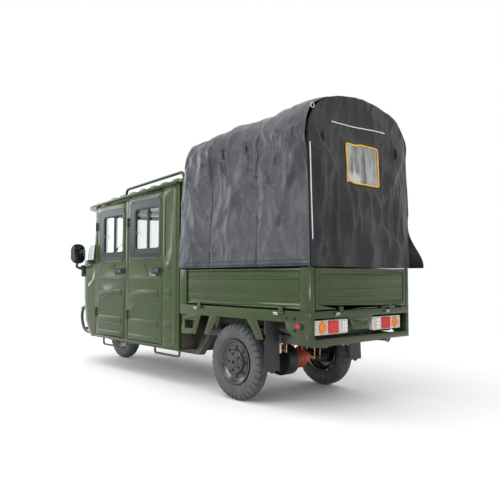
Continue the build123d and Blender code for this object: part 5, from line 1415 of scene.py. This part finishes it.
    def build_front(self) -> None:
        """The sheet that closes the canopy behind the cab, leaning with the front hoop."""
        rows, columns = 84, 84
        points, y, z = self.end_sheet(self.front_x, self.front_lean, self.front_top_z - 0.002,
                                      self.foot_z - 0.002, rows, columns)
        out = self.folds(y, z, [], 77, 1.2) * smoothstep(self.half_w - np.abs(y), 0, 0.08)
        points[..., 0] += np.maximum(out, -0.002) * smoothstep(z, 0.99, 1.1) * 0.5
        uv = np.stack([y, z], axis=-1).reshape(-1, 2)
        obj = put("canopy_front_sheet", grid_shell(points), Look.CANVAS_REAR, "frame", 60,
                  thick=self.thickness, closed=False, uv=uv)
        wide = 2 * self.half_w
        min(self.area_of(points), wide * self.sheet_long)


@dataclass
class TailLamps:
    """Both tail lamps: a pale shell behind a face of small prisms, with coloured lenses."""

    inner_y: float = 0.140
    width: float = 0.344
    height: float = 0.096
    x: float = -1.831
    z: float = 0.580
    prism: float = 0.0085

    def prisms(self, y0: float, y1: float, rear_x: float) -> Shell:
        """A face of small pyramids between y0 and y1.

        The face stands out by 1.6 mm times the product of two triangle waves, one across and
        one up, and its rim turns forward to close on the shell.
        """
        y = np.linspace(y0, y1, round(abs(y1 - y0) / 0.0021))
        z = np.linspace(-0.5, 0.5, 44) * (self.height - 0.010) + self.z
        yy, zz = np.meshgrid(y, z)
        wave = [np.abs((a / self.prism) % 2 - 1) for a in (yy, zz)]
        inset = np.minimum.reduce([yy - min(y0, y1), max(y0, y1) - yy,
                                   zz - z[0], z[-1] - zz])
        x = rear_x - 0.0016 * wave[0] * wave[1] + 0.008 * (1 - smoothstep(inset, -0.001, 0.004))
        shell = grid_shell(np.stack([x, yy, zz], axis=-1))
        return shell if y1 > y0 else flipped(shell)

    def build(self) -> None:
        """Builds the lamps in place of their CAD node."""
        shells: dict[Look, list[Shell]] = {Look.LAMP_SHELL: [], Look.LENS_AMBER: [],
                                           Look.LENS_RED: [], Look.LENS_CLEAR: [],
                                           Look.PLASTIC: [], Look.CHROME: []}
        tall = self.height
        for hand in (1, -1):
            mid_y = hand * (self.inner_y + self.width / 2)
            amber_y, red_y, clear_y = (hand * (self.inner_y + self.width * (1 - share))
                                       for share in (0.22, 0.545, 0.85))
            shells[Look.LAMP_SHELL].append(rounded_plate(
                [(-0.001, 0.003), (0.002, 0.0), (0.030, 0.0), (0.037, 0.004)], self.width, tall,
                0.010, 0, (self.x, mid_y, self.z)))
            shells[Look.LENS_CLEAR].append(self.prisms(mid_y - self.width / 2 + 0.006,
                                                       mid_y + self.width / 2 - 0.006, self.x - 0.003))
            shells[Look.LENS_AMBER] += [
                revolved([(0.0006, -0.0125), (0.02, -0.0115), (0.034, -0.008), (0.037, 0.0)], 40, 0,
                         (self.x, amber_y, self.z)),
                rounded_plate([(-0.0085, 0.003), (-0.006, 0.0), (0.0, 0.0)], 0.028, tall - 0.012,
                              0.006, 0, (self.x, amber_y, self.z))]
            shells[Look.LENS_RED].append(rounded_plate(
                [(-0.0105, 0.006), (-0.008, 0.001), (-0.004, 0.0), (0.001, 0.0)], 0.106, tall - 0.010,
                0.012, 0, (self.x, red_y, self.z)))
            shells[Look.CHROME] += [
                revolved([(0.0006, -0.0066), (0.006, -0.0075), (0.0105, -0.006), (0.012, -0.003)], 6, 0,
                         (self.x, clear_y + dy, self.z + dz))
                for dy in (-0.018, 0.004) for dz in (-0.026, 0.0, 0.026)]
            shells[Look.PLASTIC] += [
                pillow_box((self.x + 0.041, mid_y, self.z), (0.006, self.width - 0.04, 0.05), 0.002),
                pillow_box((self.x + 0.041, hand * 0.485, self.z), (0.006, 0.056, 0.036), 0.002)]
        names = {Look.LAMP_SHELL: "tail_lamp_shells", Look.LENS_AMBER: "tail_lamp_amber",
                 Look.LENS_RED: "tail_lamp_red", Look.LENS_CLEAR: "tail_lamp_prisms",
                 Look.PLASTIC: "tail_lamp_brackets", Look.CHROME: "tail_lamp_cups"}
        for look, parts in shells.items():
            obj = put(names[look], joined(parts), look, "frame", 26,
                      closed=look is not Look.LENS_CLEAR)
            if look is Look.LAMP_SHELL:
                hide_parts("tail_lamps")


@dataclass
class Cushion:
    """One padded seat part: where it is, its size and how far its back leans."""

    name: str
    center: Point
    size: Point
    lean: float = 0.0
    rounding: float = 0.022
    voxel: float = 0.010
    pressure: float = 4
    steps: int = 20
    cap: float = 0.011  # how far a point may move as the cushion swells

    def build(self) -> bpy.types.Object:
        """Sews a cushion: a round-edged block swollen by a Cloth simulation.

        The block's surface is remeshed, filled by pressure, and each point may move by a small
        cap from where it started.
        """
        turn = Matrix.Rotation(self.lean, 3, "Y")
        block = pillow_box((0, 0, 0), tuple(s - self.rounding for s in self.size), self.rounding, 5)
        shell = block.moved(np.array(turn), self.center)
        mesh = bpy.data.meshes.new(self.name)
        mesh.from_pydata(shell.verts.tolist(), [], shell.faces)
        obj = bpy.data.objects.new(self.name, mesh)
        bpy.context.scene.collection.objects.link(obj)
        remesh = obj.modifiers.new("remesh", "REMESH")
        remesh.mode = "VOXEL"
        remesh.voxel_size = self.voxel
        self.bake(obj)
        self.swell(obj)
        bpy.context.scene.frame_set(1)
        obj.data.shade_smooth()
        obj.data.materials.append(Look.VINYL.material())
        rounding = obj.modifiers.new("rounding", "SUBSURF")
        rounding.levels = rounding.render_levels = 1
        return obj

    def swell(self, obj: bpy.types.Object) -> None:
        """Runs the simulation and keeps each point within the cap of its start."""
        before = np.zeros(len(obj.data.vertices) * 3)
        obj.data.vertices.foreach_get("co", before)
        cloth = obj.modifiers.new("fill", "CLOTH")
        cloth.settings.use_pressure = True
        cloth.settings.uniform_pressure_force = self.pressure
        cloth.settings.effector_weights.gravity = 0
        cloth.point_cache.frame_start, cloth.point_cache.frame_end = 1, self.steps
        for step in range(1, self.steps + 1):
            bpy.context.scene.frame_set(step)
        self.bake(obj)
        after = np.zeros_like(before)
        obj.data.vertices.foreach_get("co", after)
        move = (after - before).reshape(-1, 3)
        length = np.linalg.norm(move, axis=1, keepdims=True)
        move *= np.minimum(1, self.cap / np.maximum(length, 1e-9))
        obj.data.vertices.foreach_set("co", (before.reshape(-1, 3) + move).ravel())
        obj.data.update()

    def bake(self, obj: bpy.types.Object) -> None:
        """Puts what the modifiers give into the mesh and clears them."""
        graph = bpy.context.evaluated_depsgraph_get()
        done = bpy.data.meshes.new_from_object(obj.evaluated_get(graph))
        obj.modifiers.clear()
        old = obj.data
        obj.data = done
        bpy.data.meshes.remove(old)


@dataclass
class Seats:
    """Bench seats of both rows."""

    width: float = 0.88

    def build(self) -> None:
        """Builds a cushion and a back for each row."""
        rows = (("front", 0.502, 0.946), ("rear", -0.351, 0.169))
        for name, x0, x1 in rows:
            seat = Cushion(f"seat_cushion_{name}", ((x0 + 0.106 + x1) / 2, 0, 0.61),
                           (x1 - x0 - 0.106, self.width, 0.100)).build()
            back = Cushion(f"seat_back_{name}", (x0 + 0.048, 0, 0.83), (0.088, self.width, 0.53),
                           0.0).build()
            for obj in (seat, back):
                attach(obj, "frame")
            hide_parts(f"seat_{name}")


@dataclass
class DoorTrims:
    """What is fixed to one door: window borders, bar cover, latch, handle and hinge sleeves."""

    side: str
    hand: int
    rim: tuple
    opening: tuple
    bar: tuple
    handle: tuple
    hinge_x: float
    glass_y: float = 0.5312
    face_y: float = 0.5515

    def add(self, name: str, shells: list, look: Look, body: str, slot: str) -> None:
        """Makes one piece of shells drawn for the left door."""
        shell = mirrored(joined(shells), self.hand)
        put(f"{name}_{self.body}", shell, look, body, 30)

    @property
    def body(self) -> str:
        """The CAD body of the door."""
        return f"{self.side}_{'left' if self.hand == 1 else 'right'}_door"

    def build(self) -> None:
        """Builds every piece, each on the body that carries it."""
        x0, x1, z0, z1, corner = self.opening
        inner = (x0 + 0.012, x1 - 0.020, z0 + 0.050, z1 - 0.012, corner - 0.010)
        # The border takes the window print, paled towards its top by a painted sky reflection.
        self.add("window_border", [window_ring(self.rim, self.opening, self.face_y,
                                               self.face_y + 0.0022)], Look.BORDER, self.body, "glass")
        lining = window_ring((x0 + 0.0003, x1 - 0.0003, z0 + 0.0003, z1 - 0.0003, corner), inner,
                             self.glass_y, self.face_y + 0.0010)
        cover = pillow_box(((self.bar[0] + self.bar[1]) / 2, 0.5388, (z0 + z1) / 2 + 0.016),
                           (self.bar[1] - self.bar[0] + 0.003, 0.0150, z1 - z0 - 0.070), 0.003)
        edge = x1 - 0.020
        catch = [rounded_plate([(0.0, 0.0), (0.008, 0.0), (0.011, 0.003)], 0.030, 0.046, 0.010, 1,
                               (edge - 0.004, 0.545, 1.330)),
                 pillow_box((edge - 0.024, 0.549, 1.330), (0.030, 0.010, 0.015), 0.004),
                 revolved([(0.0005, 0.0), (0.008, 0.0), (0.0085, 0.003), (0.006, 0.007),
                           (0.0005, 0.008)], 20, 1, (edge - 0.034, 0.549, 1.330))]
        self.add("window_frame", [lining, cover, *catch], Look.PLASTIC, self.body, "black_plastic")
        h0, h1 = self.handle
        mid = (h0 + h1) / 2
        key_x = h0 + 0.034
        grip = [rounded_plate([(0.0, 0.0), (0.0022, 0.0), (0.0035, 0.0015)], h1 - h0 + 0.024, 0.062,
                              0.014, 1, (mid, 0.5502, 0.975)),
                rounded_plate([(0.0, 0.004), (0.006, 0.0), (0.020, 0.001), (0.0255, 0.004),
                               (0.0275, 0.010)], h1 - h0 + 0.003, 0.043, 0.010, 1,
                              (mid, 0.5505, 0.975)),
                revolved([(0.0005, 0.0285), (0.012, 0.0285), (0.0145, 0.0270), (0.0150, 0.0240),
                          (0.0150, 0.010), (0.0005, 0.010)], 32, 1, (key_x, 0.5505, 0.975))]
        self.add("door_handle", grip, Look.PLASTIC, self.body, "black_plastic")
        key = [revolved([(0.0005, 0.0), (0.0085, 0.0), (0.0095, -0.0006), (0.0098, -0.004),
                         (0.0005, -0.004)], 28, 1, (key_x, 0.5800, 0.975)),
               pillow_box((key_x, 0.5800, 0.975), (0.0022, 0.0014, 0.009), 0.0004)]
        self.add("door_lock", key, Look.KEY_FACE, self.body, "black_plastic")
        sleeves, ends = [], []
        for z in (0.560, 1.440):
            at = (self.hinge_x, 0.559, z)
            sleeves.append(revolved([(0.00805, -0.0276), (0.0090, -0.0272), (0.0090, 0.0272),
                                     (0.00805, 0.0276)], 28, 2, at, closed=True))
            for up in (1, -1):
                ends.append(revolved([(0.00805, 0.0), (0.0088, 0.0004 * up), (0.0088, 0.0114 * up),
                                      (0.0060, 0.0136 * up), (0.0005, 0.0146 * up),
                                      (0.0005, 0.0126 * up), (0.00805, 0.0122 * up)], 28, 2,
                                     (at[0], at[1], z + up * 0.0292)))
        self.add("hinge_sleeves", sleeves, Look.PLASTIC, self.body, "black_paint")
        self.add("hinge_ends", ends, Look.PLASTIC, "frame", "black_paint")


@dataclass
class Screen:
    """What frames the windscreen: the black band round it, and the wiper."""

    pillar_x: float = 1.2035
    corner_r: float = 0.300
    turn: float = math.radians(55)
    heights: tuple = (1.055, 1.350, 1.561, 1.665)
    middles: tuple = (1.385, 1.301, 1.142, 1.065)

    def outline(self, z: np.ndarray, share: np.ndarray) -> np.ndarray:
        """Places on the glass at heights z and shares 0 (left pillar) to 1 (right pillar).

        A straight side, then an arc of the corner radius that turns by `turn`, then the bow: an
        arc of radius (half width - corner (1 - cos turn)) / cos(turn) that ends square to the
        middle, and the mirror image of these.
        """
        half = 1 - np.abs(2 * share - 1)
        cx = np.interp(z, self.heights, self.middles)
        sy = 0.550 - self.corner_r
        rest = math.pi / 2 - self.turn
        end_y = sy + self.corner_r * math.sin(rest)
        bow = end_y / math.sin(rest)
        straight = np.maximum(cx - self.pillar_x, 0.0)
        run = straight + self.corner_r * self.turn + bow * rest
        s = half * run
        a = np.clip((s - straight) / self.corner_r, 0, self.turn)
        b = np.clip((s - straight - self.corner_r * self.turn) / bow, 0, rest)
        on_bow = s > straight + self.corner_r * self.turn
        x_arc = np.where(s < straight, self.pillar_x + s, cx + self.corner_r * np.sin(a))
        y_arc = np.where(s < straight, 0.550, sy + self.corner_r * np.cos(a))
        center = cx + (self.corner_r - bow) * math.cos(rest)
        x = np.where(on_bow, center + bow * np.cos(rest - b), x_arc)
        y = np.where(on_bow, bow * np.sin(rest - b), y_arc)
        return np.stack([x, np.where(share > 0.5, -y, y), z], axis=-1)

    def band(self, low: float, high: float, start: float, stop: float, steps: int = 150) -> Shell:
        """A strip 1.6 mm thick on the glass between two heights and two shares."""
        share, z = np.meshgrid(np.linspace(start, stop, steps), np.linspace(low, high, 8))
        face = self.outline(z, share)
        normal = np.cross(np.gradient(face, axis=1), np.gradient(face, axis=0))
        normal /= np.maximum(np.linalg.norm(normal, axis=2, keepdims=True), 1e-9)
        normal = np.where(normal[..., :1] < 0, -normal, normal)
        normal = np.where((face[..., 1:2] * normal[..., 1:2]) < 0, -normal, normal)
        back, front = face + normal * 0.0003, face + normal * 0.0019
        loops = np.array([back[0], back[-1], front[-1], front[0]])
        return grid_shell(loops.transpose(1, 0, 2), wrap_v=True, close_ends=True)

    def build(self) -> None:
        """Builds the band round the glass and the wiper."""
        strips = [self.band(1.056, 1.100, 0.0, 1.0, 240), self.band(1.590, 1.630, 0.03, 0.97, 240)]
        for start, stop in ((0.0, 0.020), (0.980, 1.0)):
            strips.append(self.band(1.100, 1.590, start, stop, 6))
        # The band takes the window print, paled towards its top by a painted sky reflection.
        put("windscreen_border", joined(strips), Look.BORDER, "frame", 40)
        share = np.linspace(0.42, 0.60, 24)
        blade = self.outline(1.14 + 0.30 * (share - 0.42) / 0.18, share)
        blade[:, 0] += 0.010
        pivot = self.outline(np.array([1.085]), np.array([0.44]))[0] + [0.008, 0, -0.004]
        arm = [pivot, pivot + [0.018, -0.03, 0.06], blade[12] + [0.012, 0, 0], blade[13] + [0.006, 0, 0]]
        wiper = [swept(blade, circle(1, 8) * [0.003, 0.006]), tube(arm, 0.004, 0.02, 8),
                 revolved([(0.0005, 0.014), (0.012, 0.012), (0.016, 0.0), (0.0005, 0.0)], 24, 0,
                          tuple(pivot - [0.004, 0, 0]))]
        put("windscreen_wiper", joined(wiper), Look.PLASTIC, "frame", 40)


@dataclass
class FrontEnd:
    """Mirrors, bumper guard, and the grips and levers of the handlebar."""

    guard_x: float = 1.853
    guard_y: float = 0.410
    guard_r: float = 0.016
    grip_rib_r: float = 0.0200
    grip_core_r: float = 0.0187

    def build(self) -> None:
        """Builds each part; the mirrors and the guard take the place of their CAD nodes."""
        self.build_mirrors()
        self.build_guard()
        self.build_controls()

    def build_mirrors(self) -> None:
        """Egg-shaped heads with a tinted glass, each on a short stalk from a block on the nose."""
        turn = math.radians(-26)
        spin = np.array([[math.cos(turn), -math.sin(turn), 0], [math.sin(turn), math.cos(turn), 0],
                         [0, 0, 1]])
        head = rounded_plate([(-0.018, 0.004), (-0.0165, 0.001), (-0.006, 0.0), (0.006, 0.006),
                              (0.0135, 0.019), (0.0172, 0.038), (0.018, 0.060)], 0.160, 0.210, 0.070,
                             0, (1.435, 0.640, 1.166))
        lens = rounded_plate([(-0.0186, 0.010), (-0.0172, 0.008)], 0.160, 0.210, 0.070, 0,
                             (1.435, 0.640, 1.166))
        block = pillow_box((0, 0, 0), (0.086, 0.034, 0.126), 0.010)
        mount = joined([block.moved(spin, np.array([1.5227, 0.5350, 0.985])),
                        pillow_box((0, 0, 0), (0.060, 0.020, 0.040), 0.008).moved(
                            spin, np.array([1.5310, 0.5520, 1.020])),
                        tube([(1.532, 0.556, 1.006), (1.528, 0.585, 1.020), (1.470, 0.636, 1.030),
                              (1.436, 0.640, 1.075)], 0.0125, 0.020, 16)])
        heads = put("mirror_heads", joined([mirrored(head, h) for h in (1, -1)]), Look.CASE_GREEN,
                    "frame", 40)
        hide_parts("mirrors")
        put("mirror_lenses", joined([mirrored(lens, h) for h in (1, -1)]), Look.MIRROR, "frame",
            40)
        put("mirror_mounts", joined([mirrored(mount, h) for h in (1, -1)]), Look.PLASTIC, "frame",
            40)

    def build_guard(self) -> None:
        """Two bars across the nose, joined at each end by a tube that curves back to the sill."""
        x, y, r = self.guard_x, self.guard_y, self.guard_r
        parts = []
        for hand in (1, -1):
            parts.append(tube([(1.600, hand * y, 0.588), (x - 0.080, hand * y, 0.588),
                               (x - 0.040, hand * y, 0.450), (x - 0.130, hand * y, 0.307),
                               (1.520, hand * y, 0.307)], r, 0.110, 18))
            parts.append(tube([(x, hand * 0.150, 0.560), (x, hand * 0.150, 0.340)], r - 0.003, 0.02, 14))
        for z, back in ((0.566, 0.056), (0.336, 0.118)):
            parts.append(tube([(x - back, -y, z), (x, -y + 0.16, z), (x, y - 0.16, z),
                               (x - back, y, z)], r, 0.120, 18))
        guard = put("nose_guard", joined(parts), Look.FRAME_BLACK, "frame", 40)
        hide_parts("bumper_guard")

    def build_controls(self) -> None:
        """Ribbed grips, levers, switch blocks and the instrument's dials."""
        grips, levers = [], []
        for hand in (1, -1):
            start, stop = np.array([1.1225, hand * 0.332, 1.1407]), np.array([1.1725, hand * 0.230, 1.1532])
            t = np.linspace(0, 1, 111)[:, None]
            path = start * (1 - t) + stop * t
            for k in range(9):
                a, b = path[6 + k * 11], path[14 + k * 11]
                grips.append(swept(np.array([a, (a + b) / 2, b]), circle(self.grip_rib_r, 20)))
            grips.append(swept(path[::10], circle(self.grip_core_r, 20)))
            block = stop + (stop - start) * 0.22
            grips.append(pillow_box(tuple(block), (0.050, 0.046, 0.046), 0.008))
            levers.append(tube([block + [0.02, 0, 0], block + [0.055, hand * 0.02, 0.0],
                                start + [0.060, -hand * 0.01, -0.006], start + [0.052, 0, -0.010]],
                               0.0055, 0.02, 10))
        put("bar_grips", joined(grips), Look.RUBBER, "steering", 40)
        put("bar_levers", joined(levers), Look.STEEL, "steering", 40)
        dials, faces = [], []
        for y in (0.054, -0.054):
            dials.append(revolved([(0.022, -0.001), (0.026, -0.006), (0.029, -0.004), (0.029, 0.002),
                                   (0.022, 0.002)], 40, 0, (1.3265, y, 1.080), closed=True))
            faces.append(revolved([(0.0005, -0.0012), (0.0222, -0.0012), (0.0222, 0.001),
                                   (0.0005, 0.001)], 40, 0, (1.3265, y, 1.080)))
            faces.append(tube([(1.3250, y, 1.080), (1.3250, y + 0.010, 1.094)], 0.0009, 0.01, 6))
        put("dial_rings", joined(dials), Look.CHROME, "frame", 40)
        put("dial_faces", joined(faces), Look.DIAL, "frame", 40)


@dataclass
class BedTrims:
    """Reflectors, bolts, painted shade for the plate bracket's holes, the motor's leads and the cab's loom.
    """

    side_y: float = 0.554

    def build(self) -> None:
        """Builds each small part on the bed and under it."""
        bezels, discs = [], []
        for hand in (1, -1):
            bezels.append(mirrored(rounded_plate([(0.0, 0.0), (0.004, 0.0), (0.0062, 0.0022)], 0.060,
                                                 0.040, 0.012, 1, (-1.758, self.side_y + 0.0002, 0.592)),
                                   hand))
            discs.append(mirrored(revolved([(0.0005, 0.0105), (0.008, 0.0102), (0.0145, 0.0090),
                                            (0.0168, 0.0068), (0.0168, 0.0), (0.0005, 0.0)], 32, 1,
                                           (-1.751, self.side_y, 0.592)), hand))
        put("reflector_bezels", joined(bezels), Look.PLASTIC, "frame", 30)
        put("reflector_discs", joined(discs), Look.LENS_RED, "frame", 30)
        # Painted shade: thin dark plates on the bracket stand for its slots and holes, dark as the shade seen
        # through them.
        slots = [rounded_plate([(-0.0006, 0.0), (0.0004, 0.0)], w, h, min(w, h) / 2 - 0.0005, 0,
                               (-1.8342, y, z))
                 for y, z, w, h in ((0.055, 0.606, 0.012, 0.022), (0.012, 0.598, 0.016, 0.006),
                                    (-0.010, 0.598, 0.006, 0.006), (-0.030, 0.598, 0.016, 0.006),
                                    (-0.010, 0.612, 0.006, 0.006), (-0.072, 0.570, 0.007, 0.007),
                                    (0.072, 0.570, 0.007, 0.007))]
        put("plate_slots_painted_shade", joined(slots), Look.DIAL, "frame", 30)
        heads = [mirrored(bolt_head((x, 0.5545, z), 1, 1, 0.007, 0.004), hand)
                 for x, z in ((-1.715, 0.640), (-1.640, 0.640), (-1.715, 0.560)) for hand in (1, -1)]
        put("bracket_bolts", joined(heads), Look.CASE, "frame", 30)
        leads = []
        for k, (y, lift) in enumerate(((0.062, 0.020), (0.030, 0.0), (-0.004, 0.034))):
            leads.append(tube([(-1.215 - 0.02 * k, y, 0.352), (-1.268, y + 0.01, 0.408 + lift),
                               (-1.250, y + 0.06, 0.468 + lift), (-1.120, y + 0.05, 0.500 + lift / 2),
                               (-1.020, 0.060 + 0.02 * k, 0.470)], 0.0048, 0.045, 12))
            leads.append(revolved([(0.0005, 0.0), (0.0075, 0.0), (0.0075, 0.020), (0.0052, 0.028),
                                   (0.0005, 0.028)], 16, 2, (-1.215 - 0.02 * k, y, 0.346)))
        put("motor_leads", joined(leads), Look.LEAD, "frame", 40)
        loom = []
        for hand, reach in ((1, 0.0), (1, 0.018)):
            route = rounded_line([(-0.366, hand * 0.462, 0.905 - reach), (-0.402, hand * 0.482, 0.850),
                                  (-0.405, hand * (0.476 - reach), 0.740),
                                  (-0.418, hand * 0.452, 0.640), (-0.470, hand * 0.400, 0.600)], 8, 0.03)
            loom.append(swept(route, circle(0.0095 - reach * 0.1, 12)))
        put("cab_loom", joined(loom), Look.RUBBER, "frame", 40)


@dataclass
class HeadLamps:
    """Round headlamps: bright bowl, clear lens and black ring."""

    y: float = 0.335
    z: float = 0.790
    front_x: float = 1.693

    def build(self) -> None:
        """Builds both lamps in place of their CAD node."""
        bowls, lenses, rings = [], [], []
        for hand in (1, -1):
            at = (self.front_x, hand * self.y, self.z)
            bowls.append(revolved([(0.0006, -0.075), (0.02, -0.073), (0.045, -0.058),
                                   (0.066, -0.03), (0.070, -0.008), (0.072, -0.008),
                                   (0.072, -0.127), (0.0006, -0.127)], 48, 0, at))
            lenses.append(revolved([(0.0006, -0.001), (0.03, -0.003), (0.055, -0.008),
                                    (0.0695, -0.014), (0.0695, -0.019), (0.03, -0.009),
                                    (0.0006, -0.006)], 48, 0, at))
            rings.append(revolved([(0.070, -0.008), (0.073, -0.003), (0.0772, -0.010),
                                   (0.0772, -0.030), (0.0725, -0.030)], 48, 0, at, closed=True))
        bowl = put("headlamp_bowls", joined(bowls), Look.CHROME, "frame", 40)
        put("headlamp_lenses", joined(lenses), Look.LENS_CLEAR, "frame", 40)
        put("headlamp_rings", joined(rings), Look.PLASTIC, "frame", 40)
        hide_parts("headlamps")


def main() -> None:
    """Builds every sub-assembly in order."""
    logging.basicConfig(level=logging.INFO, format="%(name)s: %(message)s")
    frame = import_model()
    Viewpoint().build()
    Studio().build()
    Bodywork(frame).build()
    wheels = (
        Wheel("front", "front_wheel", FRONT_AXLE_X, 0.0, 1),
        Wheel("rear_left", "rear_left_wheel", REAR_AXLE_X, TRACK / 2, 1),
        Wheel("rear_right", "rear_right_wheel", REAR_AXLE_X, -TRACK / 2, -1),
    )
    for wheel in wheels:
        wheel.build()
    CanopyCloth().build()
    TailLamps().build()
    HeadLamps().build()
    for hand in (1, -1):
        DoorTrims("front", hand, (0.5905, 1.0905, 1.0765, 1.5905, 0.0505),
                  (0.603, 1.015, 1.115, 1.530, 0.034), (0.775, 0.807), (0.595, 0.725), 1.1595).build()
        DoorTrims("rear", hand, (-0.0655, 0.4575, 1.0945, 1.6255, 0.0505),
                  (-0.053, 0.385, 1.130, 1.556, 0.034), (0.143, 0.172), (-0.079, 0.051), 0.5025).build()
    Screen().build()
    FrontEnd().build()
    BedTrims().build()
    Seats().build()


if __name__ == "__main__":
    main()
